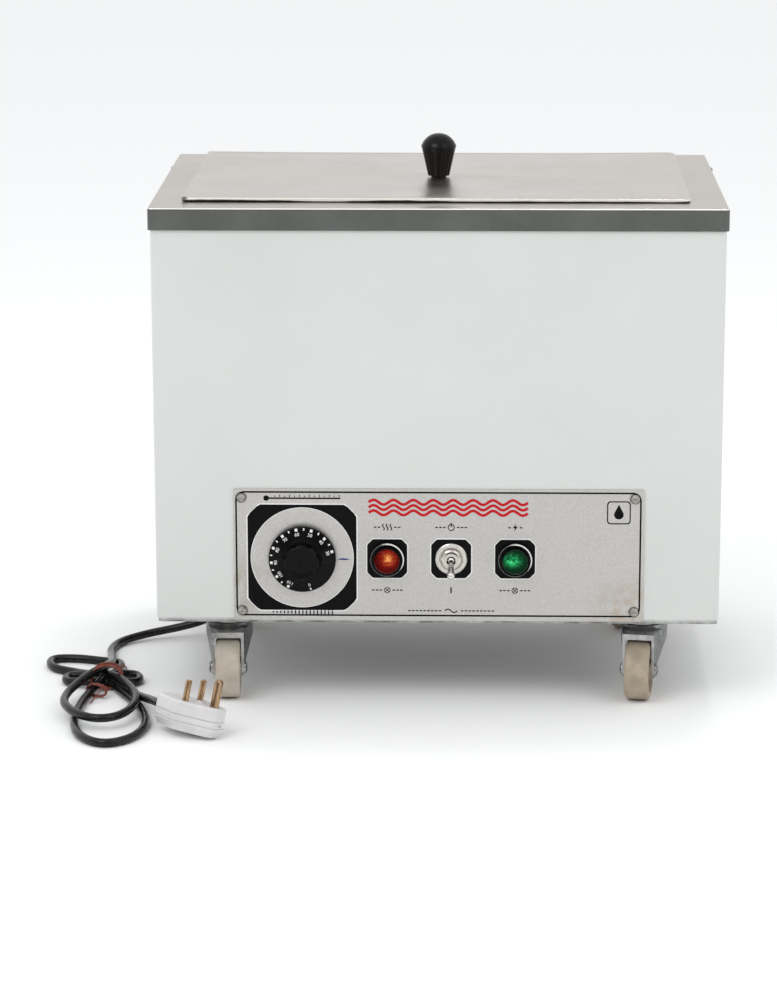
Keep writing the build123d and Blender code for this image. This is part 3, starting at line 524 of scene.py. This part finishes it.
def dress_cad_nodes(rubber):
    """Gives every CAD node that stays visible its own finish."""
    # where the small lamps shine brightest through their lenses
    red_at = (RED.x + 1.2 * MM, LENS_FRONT + 1 * MM, RED.z + 3.0 * MM)
    green_at = (GREEN.x - 2.6 * MM, LENS_FRONT + 1 * MM, GREEN.z + 1.8 * MM)
    chrome = polished("chrome_plate", (0.72, 0.72, 0.71))
    black = phenolic()
    zinc = zinc_plate()
    bright = plain_metal("bright_screw_steel", (0.62, 0.62, 0.60), (0.40, 0.38, 0.34), 0.3)
    white = white_enamel()
    ceramic = matte("cream_ceramic", (0.78, 0.74, 0.64), 0.5)
    sheath = plain_metal("heater_sheath", (0.30, 0.27, 0.24), (0.13, 0.11, 0.10), 0.5)
    copper = plain_metal("copper_tube", (0.60, 0.32, 0.20), (0.32, 0.16, 0.10), 0.3)
    finishes = {
        white: ["cabinet_shell", "base_panel", "rear_panel"],
        stainless("brushed_stainless", (0.525, 0.486, 0.443), "cover"): ["top_cover"],
        stainless("tank_stainless", (0.575, 0.545, 0.518), "tank"): ["wax_tank"],
        plain_metal("dark_screw_steel", (0.16, 0.16, 0.17), (0.07, 0.07, 0.07), 0.35): ["body_screws"],
        plain_metal("panel_screw_steel", (0.50, 0.49, 0.46), (0.20, 0.19, 0.17), 0.34): ["panel_screws"],
        bright: ["small_screws", "hex_nuts", "caster_bolts", "lid_knob_screw", "earth_stud"],
        glass_wool(): ["tank_insulation"],
        plain_metal("spreader_aluminium", (0.66, 0.66, 0.67), (0.48, 0.48, 0.49), 0.36): ["heater_spreader"],
        sheath: ["heater_element", "heater_clamps", "bulb_clip"],
        copper: ["capillary_tube", "sensor_bulb"],
        ceramic: ["terminal_block"],
        black: ["thermostat_body", "thermostat_knob", "lamp_bodies"],
        switch_case(): ["switch_body"],
        phenolic("knob_bakelite", (0.002, 0.002, 0.002), 0.08, 0.20): ["lid_knob"],
        fascia_metal(): ["control_panel"],
        lens_plastic("red_lens_plastic", (0.075, 0.001, 0.0006), (0.52, 0.012, 0.002), (1.0, 0.52, 0.15),
                     red_at, 0.0102, 4.4): ["red_lens"],
        lens_plastic("green_lens_plastic", (0.0006, 0.022, 0.008), (0.001, 0.13, 0.035), (0.06, 0.80, 0.26),
                     green_at, 0.0098, 2.4, (0.85, 1, 1.2)): ["green_lens"],
        lamp_chrome(): ["lamp_bezels"],
        polished("switch_plate", (0.60, 0.58, 0.54), 0.2): ["switch_ring"],
        chrome: ["toggle_lever", "lamp_nuts", "thermostat_shaft"],
        polished("nut_nickel", (0.60, 0.57, 0.52), 0.1): ["switch_nuts"],
        rubber: ["cord_gland"],
        matte("wire_insulation", (0.42, 0.05, 0.04), 0.45): ["internal_wires"],
        white_moulding(): ["plug_body", "plug_cover"],
        pin_brass(): ["plug_pins"],
        zinc: [f"caster_{tag}_{part}" for tag in CASTERS for part in ("plate", "fork", "axle")],
        wheel_nylon(): [f"caster_{tag}_wheel" for tag in CASTERS],
    }
    for material, nodes in finishes.items():
        for node in nodes:
            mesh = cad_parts[node].data
            mesh.materials.clear()
            mesh.materials.append(material)
            mesh.shade_smooth()
            mesh.set_sharp_from_angle(angle=math.radians(32))


# ---- fascia print ------------------------------------------------------------------------
BLACK_INK = ink("black_print", (0.003, 0.003, 0.0032))
WHITE_INK = ink("white_print", (0.80, 0.80, 0.79), 0.4)
RED_INK = ink("red_print", (0.50, 0.014, 0.020))
BLUE_INK = ink("pen_mark", (0.03, 0.05, 0.22))
DIAL_HALF, DIAL_CUT, DIAL_WINDOW = 44.1 * MM, 9.0 * MM, 41.6 * MM       # half side, cut corner, window radius
LAMP_HALF, LAMP_CUT = 16.2 * MM, 4.6 * MM
OUTLINE = 0.9 * MM                          # width of the pale line round each black window
MARK = 0.9 * MM                             # line width of the small signs


def printed(name, bm, material):
    """Puts a print of one ink on the fascia."""
    finish_piece(new_object(name, bm), material, CABINET)


def fascia_border():
    bm = bmesh.new()
    x, z = FASCIA_MID.x - 0.4 * MM, FASCIA_MID.z + 0.7 * MM
    half_x, half_z, line = 164.0 * MM, 52.1 * MM, 1.4 * MM
    outer = rounded_box(x, z, half_x, half_z, 7.5 * MM)
    inner = rounded_box(x, z, half_x - line, half_z - line, 6.5 * MM)
    ink_ring(bm, outer, inner)
    printed("fascia_border", bm, BLACK_INK)


def window_prints():
    """Black cut-corner windows behind the dial, lamps and switch, each with a pale outline."""
    black, white = bmesh.new(), bmesh.new()
    dial = (DIAL.x - 0.2 * MM, DIAL.z + 0.4 * MM)
    ink_ring(black, cut_square(*dial, DIAL_HALF, DIAL_CUT), circle(*dial, DIAL_WINDOW))
    ink_ring(white, cut_square(*dial, DIAL_HALF + OUTLINE, DIAL_CUT + OUTLINE * 1.2),
             cut_square(*dial, DIAL_HALF, DIAL_CUT))
    ink_ring(white, circle(*dial, DIAL_WINDOW + 0.2 * MM), circle(*dial, DIAL_WINDOW - 0.3 * MM), 1.3)
    for at, hole in ((RED, 6.6 * MM), (SWITCH, 6.3 * MM), (GREEN, 6.6 * MM)):      # rings cover the holes
        ink_ring(black, cut_square(at.x, at.z, LAMP_HALF, LAMP_CUT), circle(at.x, at.z, hole))
        ink_ring(white, cut_square(at.x, at.z, LAMP_HALF + OUTLINE, LAMP_CUT + OUTLINE),
                 cut_square(at.x, at.z, LAMP_HALF, LAMP_CUT))
    printed("window_prints", black, BLACK_INK)
    printed("window_outlines", white, WHITE_INK)


def wave(x0, x1, z, height, turns, steps):
    """Points of a sine line that runs from x0 to x1."""
    return [(x0 + (x1 - x0) * i / steps, z + height * math.sin(2 * math.pi * turns * i / steps))
            for i in range(steps + 1)]


def title_motif():
    """Red heat waves across the fascia's heading."""
    bm = bmesh.new()
    x0, x1 = FASCIA_MID.x - 56.5 * MM, FASCIA_MID.x + 72.0 * MM
    for rise in (35.2 * MM, 39.6 * MM, 44.0 * MM):
        ink_plate(bm, stroke(wave(x0, x1, FASCIA_MID.z + rise, 1.9 * MM, 8, 160), 2.3 * MM))
    printed("title_heat_waves", bm, RED_INK)


def lamp_symbol(bm, x, z, radius):
    """Circle with a diagonal cross."""
    ink_ring(bm, circle(x, z, radius, 32), circle(x, z, radius * 0.76, 32))
    arm = radius * 0.6
    for side in (-1, 1):
        ink_plate(bm, stroke([(x - arm, z - side * arm), (x + arm, z + side * arm)], radius * 0.24))


def side_dashes(bm, x, z, start, count):
    """Row of short dashes on both sides of a sign."""
    for side in (-1, 1):
        for i in range(count):
            a = start + i * 3.1 * MM
            ink_plate(bm, stroke([(x + side * a, z), (x + side * (a + 2.1 * MM), z)], 1.0 * MM))


def dial_signs(bm):
    """Thermometer above the dial, and a row of growing strokes below it."""
    x, z = DIAL.x, FASCIA_MID.z + 47.0 * MM
    ink_plate(bm, circle(x - 29 * MM, z, 2.3 * MM, 24))
    ink_plate(bm, stroke([(x - 27.5 * MM, z), (x + 31 * MM, z)], 1.3 * MM))
    for i in range(14):
        tick_x = x - 22 * MM + i * 4 * MM
        ink_plate(bm, stroke([(tick_x, z + 1.0 * MM), (tick_x, z + (2.9 if i % 2 else 2.2) * MM)], 0.7 * MM))
    foot = FASCIA_MID.z - 48.1 * MM
    for i in range(17):
        tick_x = x - 24 * MM + i * 3 * MM
        rise = (0.8 + 0.13 * i) * MM
        ink_plate(bm, stroke([(tick_x, foot - rise), (tick_x, foot + rise)], 1.0 * MM))


def upper_signs(bm, z):
    """Steam above the red lamp, a power sign above the switch and a bolt above the green lamp."""
    for i in (-1, 0, 1):
        rising = wave(z - 2.6 * MM, z + 2.8 * MM, 0, 0.7 * MM, 1, 16)
        ink_plate(bm, stroke([(RED.x + i * 3.0 * MM + sway, height) for height, sway in rising], MARK))
    ink_ring(bm, circle(SWITCH.x, z, 2.9 * MM, 32), circle(SWITCH.x, z, 2.1 * MM, 32))
    ink_plate(bm, stroke([(SWITCH.x, z + 0.4 * MM), (SWITCH.x, z + 4.0 * MM)], MARK))
    bolt = [(0.6, 3.2), (-2.1, -0.5), (-0.2, -0.5), (-0.9, -3.2), (2.1, 0.9), (0.2, 0.9)]
    ink_plate(bm, [(GREEN.x + a * MM, z + b * MM) for a, b in bolt])
    for at, start, count in ((RED, 5.6 * MM, 2), (SWITCH, 4.6 * MM, 3), (GREEN, 3.6 * MM, 1)):
        side_dashes(bm, at.x, z, start, count)


def lower_signs(bm, z):
    """Lamp symbols below the lamps and an on bar below the switch."""
    for at in (RED, GREEN):
        lamp_symbol(bm, at.x, z, 2.6 * MM)
        side_dashes(bm, at.x, z, 4.2 * MM, 3)
    ink_plate(bm, stroke([(SWITCH.x, z - 2.4 * MM), (SWITCH.x, z + 2.6 * MM)], 1.2 * MM))


def pictograms():
    """Generic signs where a control panel carries its captions."""
    bm = bmesh.new()
    dial_signs(bm)
    upper_signs(bm, FASCIA_MID.z + 23.2 * MM)
    lower_signs(bm, FASCIA_MID.z - 29.4 * MM)
    supply = FASCIA_MID.z - 46.6 * MM       # mains symbol at the foot of the fascia
    ink_plate(bm, stroke(wave(SWITCH.x - 5 * MM, SWITCH.x + 5 * MM, supply, 1.4 * MM, 1, 24), MARK))
    side_dashes(bm, SWITCH.x, supply, 8 * MM, 9)
    printed("fascia_pictograms", bm, BLACK_INK)


def wax_drop_sign():
    """Plain sign at the fascia's upper right: a drop of wax in a rounded frame."""
    bm = bmesh.new()
    x, z = FASCIA_HIGH.x - 20.7 * MM, FASCIA_HIGH.z - 19.0 * MM
    half, line, radius = 9.6 * MM, 1.0 * MM, 3.9 * MM
    inside = half - line
    ink_ring(bm, rounded_box(x, z, half, half, 3.0 * MM), rounded_box(x, z, inside, inside, 2.2 * MM))
    drop = [(x, z + 6.8 * MM)]
    for i in range(21):
        angle = math.radians(38 - 256 * i / 20)
        drop.append((x + radius * math.cos(angle), z - 1.6 * MM + radius * math.sin(angle)))
    ink_plate(bm, drop)
    printed("wax_drop_sign", bm, BLACK_INK)


def pen_mark():
    """Hand-drawn index beside the dial, where the user reads the setting."""
    bm = bmesh.new()
    x0 = DIAL.x + 28.6 * MM
    line = [(x0 + i * 1.2 * MM, DIAL.z + (0.3 * math.sin(i * 0.7) + i * 0.1 - 1.3) * MM) for i in range(9)]
    ink_plate(bm, stroke(line, 1.5 * MM, taper=True))
    printed("index_pen_mark", bm, BLUE_INK)


# ---- dial marks --------------------------------------------------------------------------
FIRST_ANGLE, LAST_ANGLE, OFF_ANGLE = 15.6, 243.0, -74.4    # degrees, where 30, 110 and 0 stand
SKIRT_RIM, SKIRT_TOP = 26.3 * MM, 18.2 * MM                # radii at the rim and at the top of the cone
SKIRT_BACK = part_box("thermostat_knob")[1].y
RIM_Y, TOP_Y = SKIRT_BACK - 2.4 * MM, SKIRT_BACK - 4.8 * MM


def on_skirt(radius, angle, lift=0.05 * MM):
    """Point on the dial's conical skirt at an angle from 3 o'clock, counter-clockwise."""
    share = (SKIRT_RIM - radius) / (SKIRT_RIM - SKIRT_TOP)
    y = RIM_Y + (TOP_Y - RIM_Y) * share - lift
    return Vector((DIAL.x + radius * math.cos(angle), y, DIAL.z + radius * math.sin(angle)))


def skirt_tick(bm, angle, inner, outer, half_width):
    corners = ((inner, -1), (outer, -1), (outer, 1), (inner, 1))
    face = add_loop(bm, [on_skirt(r, angle + side * half_width / r) for r, side in corners])
    back = add_loop(bm, [on_skirt(r, angle + side * half_width / r, -0.1 * MM) for r, side in corners])
    bridge(bm, face, back)
    bm.faces.new(face)
    bm.faces.new(back)


def dial_number(text, angle):
    """Solid number on the skirt, with its head towards the rim."""
    curve = bpy.data.curves.new("dial_number", "FONT")
    curve.body = text
    curve.align_x, curve.align_y = "CENTER", "CENTER"
    curve.size, curve.extrude, curve.offset = 3.8 * MM, 0.04 * MM, 0.02 * MM
    written = bpy.data.objects.new("dial_number", curve)
    bpy.context.scene.collection.objects.link(written)
    bpy.context.view_layer.update()
    mesh = bpy.data.meshes.new_from_object(written.evaluated_get(bpy.context.evaluated_depsgraph_get()))
    bpy.data.objects.remove(written)
    out = (on_skirt(23 * MM, angle) - on_skirt(20 * MM, angle)).normalized()
    across = Vector((math.sin(angle), 0, -math.cos(angle)))
    turn = Matrix((across, out, across.cross(out))).transposed().to_4x4()
    mesh.transform(Matrix.Translation(on_skirt(21.4 * MM, angle)) @ turn)
    mesh.materials.clear()
    solid = bpy.data.objects.new(f"dial_number_{text}", mesh)
    bpy.context.scene.collection.objects.link(solid)
    finish_piece(solid, WHITE_INK, "dial")


def dial_marks():
    """Ticks and numbers of the scale: 30 to 110 in steps of 10, and 0 for off."""
    bm = bmesh.new()
    steps = 8
    span = LAST_ANGLE - FIRST_ANGLE
    for i in range(2 * steps + 1):
        angle = math.radians(FIRST_ANGLE + span * i / (2 * steps))
        if i % 2 == 0:
            skirt_tick(bm, angle, 24.0 * MM, 26.2 * MM, 1.1 * MM)
        else:
            skirt_tick(bm, angle, 24.4 * MM, 26.2 * MM, 0.55 * MM)
    skirt_tick(bm, math.radians(OFF_ANGLE), 24.4 * MM, 26.2 * MM, 0.6 * MM)
    finish_piece(new_object("dial_ticks", bm), WHITE_INK, "dial")
    for i in range(steps + 1):
        dial_number(str(30 + 10 * i), math.radians(FIRST_ANGLE + span * i / steps))
    dial_number("0", math.radians(OFF_ANGLE))


# ---- lid ---------------------------------------------------------------------------------
LID_YAW = math.radians(-0.3)                # the loose lid lies a little askew
LID_CORNERS = (9.0 * MM, 2.5 * MM, 1.5 * MM, 6.5 * MM)     # rear right, rear left, front left, front right
KNOB_FLAT = 32 * MM                         # reach of the flat that the knob holds in the sheet


def lid_ring(inset, z):
    """Closed loop a given inset inside the lid's outline, with the same points on every loop."""
    arcs = []
    for corner, ((sx, sy), painted_bend_highlight) in enumerate(zip(((1, 1), (-1, 1), (-1, -1), (1, -1)), LID_CORNERS)):
        radius = max(painted_bend_highlight - inset, 0.5 * MM)
        cx, cy = sx * (LID_HALF.x - inset - radius), sy * (LID_HALF.y - inset - radius)
        arcs.append([(cx + radius * math.cos(a), cy + radius * math.sin(a))
                     for a in (math.pi / 2 * (corner + i / 8) for i in range(9))])
    points = []
    for arc, following in zip(arcs, arcs[1:] + arcs[:1]):
        (ax, ay), (bx, by) = arc[-1], following[0]
        points += arc + [(ax + (bx - ax) * i / 16, ay + (by - ay) * i / 16) for i in range(1, 16)]
    return [(LID_MID.x + x, LID_MID.y + y, z) for x, y in points]


def lid_shape(x, y):
    """Height that handling has given the thin sheet: a shallow sag, slack waves and lifted corners."""
    u, v = (x - LID_MID.x) / LID_HALF.x, (y - LID_MID.y) / LID_HALF.y
    at_knob = math.exp(-((x - KNOB.x) ** 2 + (y - KNOB.y) ** 2) / KNOB_FLAT ** 2)
    inner = max(0.0, 1 - u * u) * max(0.0, 1 - v * v) * (1 - at_knob)
    front = (0.5 - 0.5 * v) ** 2
    lift = 0.9 * MM * abs(u) ** 3 * (0.5 + 0.5 * v) + 0.6 * MM * front * (1 - u) / 2
    ripple = noise.noise(Vector((u * 1.9, v * 1.4, 0.4))) * 0.8 * MM
    return lift + inner * (ripple - 0.5 * MM)


def formed_lid(material):
    """The lid as a hemmed sheet of one thickness, with the form that use has given it."""
    # (inset, drop) of each loop in mm: out under the sheet, round the hem, and in over the top
    hem = [(6.0, 1.0), (6.0, 2.9), (5.6, 3.2), (1.0, 3.2), (0.3, 2.9), (0.0, 2.1), (0.0, 1.1), (0.3, 0.4),
           (1.0, 0.0), (5.4, 0.0), (6.2, 0.25), (7.6, 0.30)]
    field = [12, 20, 32, 46, 62, 80, 98, 114, 124]
    steps = [(inset, 1.0) for inset in field[::-1]] + hem + [(inset, 0.0) for inset in field]
    bm = bmesh.new()
    loops = []
    for inset, drop in steps:
        ring = lid_ring(inset * MM, LID_HIGH.z - drop * MM)
        loops.append(add_loop(bm, [(x, y, z + lid_shape(x, y)) for x, y, z in ring]))
    for a, b in zip(loops, loops[1:]):
        bridge(bm, a, b)
    bm.faces.new(loops[0])
    bm.faces.new(loops[-1])
    bmesh.ops.rotate(bm, verts=bm.verts, cent=KNOB, matrix=Matrix.Rotation(LID_YAW, 3, "Z"))
    bmesh.ops.translate(bm, verts=bm.verts, vec=(0, 0, LID_LOW.z - min(v.co.z for v in bm.verts)))
    piece = finish_piece(new_object("formed_lid", bm, 40), material, "lid")
    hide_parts("lid_sheet")


# ---- mains lead --------------------------------------------------------------------------
LEAD_D = 7.0 * MM
# Control points of the lead, mm: from the gland to the hank, the hank itself, and on to the plug.
RUN = [(-92, 39, 60), (-118, 39, 60), (-146, 42, 51), (-175, 48, 34), (-205, 53, 16.5),
       (-232, 53, 9.5), (-256, 48, 6), (-277, 32, 3.6), (-283, 8, 3.6), (-279, -17, 5),
       (-276, -42, 8.5)]
# Turns of the tied hank: upper loop, folded end at the left, lower loop, then the two short folds.
HANK = [(-275, -69, 13), (-279, -91, 16.5), (-289, -111, 16), (-298, -131, 12.5), (-303, -147, 10.5),
        (-303, -172, 10.5), (-292, -198, 10.5), (-273, -216, 10.5), (-254, -209, 10.5),
        (-244, -180, 10.5), (-246, -144, 10.5), (-259, -112, 11), (-274, -92, 12), (-290, -84, 8),
        (-306, -62, 3.6), (-327, -50, 3.6), (-332, -22, 3.6), (-308, -20, 3.6), (-284, -29, 3.6),
        (-268, -34, 3.6), (-270, -58, 3.6), (-276, -82, 3.6), (-263, -113, 3.6), (-250, -140, 3.6),
        (-238, -169, 3.6), (-231, -210, 3.6), (-240, -245, 3.6), (-262, -261, 3.6), (-284, -238, 3.6),
        (-292, -197, 3.6), (-291, -147, 3.6), (-283, -112, 6.5), (-276, -88, 10), (-262, -70, 5),
        (-250, -70, 3.6), (-249, -92, 3.6), (-268, -96, 6), (-290, -98, 6), (-311, -91, 3.6),
        (-311, -72, 3.6), (-296, -76, 5), (-278, -90, 8.5)]
TAIL = [(-262, -109, 5), (-247.5, -129, 4.2), (-241, -147, 8), (-234.5, -166, 12.5), (-227, -187, 17),
        (-221, -200, 18.8), (-218, -205, 19)]


def smooth_curve(name, points, radius, resolution=8):
    """Round NURBS line through control points given in millimetres."""
    curve = bpy.data.curves.new(name, "CURVE")
    curve.dimensions = "3D"
    curve.bevel_depth, curve.bevel_resolution = radius, 6
    curve.use_fill_caps = True
    spline = curve.splines.new("NURBS")
    spline.points.add(len(points) - 1)
    for point, at in zip(spline.points, points):
        point.co = (at[0] * MM, at[1] * MM, at[2] * MM, 1)
    spline.order_u = 3
    spline.use_endpoint_u = True
    spline.resolution_u = resolution
    piece = bpy.data.objects.new(name, curve)
    bpy.context.scene.collection.objects.link(piece)
    return piece


def twine(material):
    """Red twine: loose turns round the crossing of the hank, slack loops in front and two short ends."""
    wraps = []
    # centre, half-width, half-height, lean of the turns along y, number of turns and their spread, mm
    bands = (((-275, -100, 11.5), 13.0, 10.2, 0.12, 7, 13.0), ((-281, -122, 6.0), 8.5, 5.4, -0.5, 4, 8.0))
    per_turn = 14
    for index, ((cx, cy, cz), rx, rz, lean, turns, spread) in enumerate(bands):
        points = []
        for i in range(turns * per_turn + 1):
            angle = 2 * math.pi * i / per_turn + index
            slip = (i / (turns * per_turn) - 0.5) * spread + 0.7 * math.sin(i * 0.61)
            x = cx + (rx + 0.5 * math.sin(i * 0.37)) * math.cos(angle)
            z = max(cz + (rz + 0.6 * math.sin(i * 0.53)) * math.sin(angle), 0.8)
            points.append((x, cy + slip + lean * (x - cx), z))
        piece = smooth_curve(f"twine_wrap_{index + 1}", points, 0.6 * MM, 4)
        wraps.append(finish_piece(piece, material, CABINET))
    ends = [[(-264, -95, 17), (-262, -94, 19.5), (-260, -94, 19), (-258.5, -95, 16)],
            [(-276, -127, 9), (-277, -133, 9), (-280, -138, 5), (-284, -142, 0.8)]]
    for index, points in enumerate(ends):
        piece = smooth_curve(f"twine_end_{index + 1}", points, 0.5 * MM)
        wraps.append(finish_piece(piece, material, CABINET))
    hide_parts("cord_tie")
    return wraps


def mains_lead(rubber):
    lead = smooth_curve("mains_lead", RUN + HANK + TAIL, LEAD_D / 2, 10)
    finish_piece(lead, rubber, CABINET)
    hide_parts("cord_run", "cord_hank", "cord_tail")
    ties = twine(twine_fibre())


# ---- studio ------------------------------------------------------------------------------
def studio():
    """White floor, a bright room with a dim side behind the camera, and three soft lamps."""
    bm = bmesh.new()
    bmesh.ops.create_grid(bm, x_segments=1, y_segments=1, size=14)
    floor = new_object("studio_floor", bm)
    paper = bpy.data.materials.new("studio_paper")
    paper.use_nodes = True
    shader = paper.node_tree.nodes["Principled BSDF"]
    shader.inputs["Base Color"].default_value = (0.97, 0.97, 0.97, 1)
    shader.inputs["Roughness"].default_value = 0.9
    floor.data.materials.append(paper)

    world = bpy.data.worlds.new("studio_world")
    bpy.context.scene.world = world
    world.use_nodes = True
    nodes, links = world.node_tree.nodes, world.node_tree.links
    direction = nodes.new("ShaderNodeSeparateXYZ")
    links.new(nodes.new("ShaderNodeTexCoord").outputs["Generated"], direction.inputs[0])
    shade = []
    for axis, low, high in (("Y", -0.75, -0.35), ("Z", 0.30, 0.55)):    # dim room behind the camera
        ramp = nodes.new("ShaderNodeMapRange")
        ramp.inputs["From Min"].default_value, ramp.inputs["From Max"].default_value = low, high
        links.new(direction.outputs[axis], ramp.inputs["Value"])
        shade.append(ramp.outputs["Result"])
    lit = nodes.new("ShaderNodeMath")
    lit.operation = "MAXIMUM"
    links.new(shade[0], lit.inputs[0])
    links.new(shade[1], lit.inputs[1])
    tone = nodes.new("ShaderNodeMix")
    tone.data_type = "RGBA"
    tone.inputs[6].default_value, tone.inputs[7].default_value = (0.20, 0.20, 0.20, 1), (0.98, 0.99, 1.0, 1)
    links.new(lit.outputs[0], tone.inputs["Factor"])
    links.new(tone.outputs[2], nodes["Background"].inputs["Color"])
    nodes["Background"].inputs["Strength"].default_value = 0.97
    lights = [("key", (-1.3, -1.9, 2.4), 1.6, 22), ("fill", (1.7, -1.7, 1.5), 1.8, 8),
              ("overhead", (0.35, 0.5, 2.6), 0.35, 6)]
    for name, at, size, watts in lights:
        lamp = bpy.data.lights.new(name, "AREA")
        lamp.shape, lamp.size, lamp.energy = "SQUARE", size, watts
        light = bpy.data.objects.new(name, lamp)
        light.location = at
        light.rotation_euler = (Vector((0, 0, 0.25)) - Vector(at)).to_track_quat("-Z", "Y").to_euler()
        bpy.context.scene.collection.objects.link(light)


def camera():
    """Long lens about 2.8 m from the bath, looking a little down on its front."""
    data = bpy.data.cameras.new("front_camera")
    data.lens, data.sensor_width = 123.7, 36.0
    eye = bpy.data.objects.new("front_camera", data)
    eye.location = (0.0293, -2.8313, 0.8300)
    eye.rotation_euler = tuple(math.radians(a) for a in (76.284, 0.099, 1.439))
    bpy.context.scene.collection.objects.link(eye)
    bpy.context.scene.camera = eye
    bpy.context.scene.view_settings.view_transform = "Standard"


camera()
studio()
lead_finish = lead_rubber()
dress_cad_nodes(lead_finish)
mains_lead(lead_finish)
fascia_border()
window_prints()
title_motif()
pictograms()
wax_drop_sign()
pen_mark()
dial_marks()
formed_lid(stainless("lid_stainless", (0.573, 0.528, 0.489), "lid"))
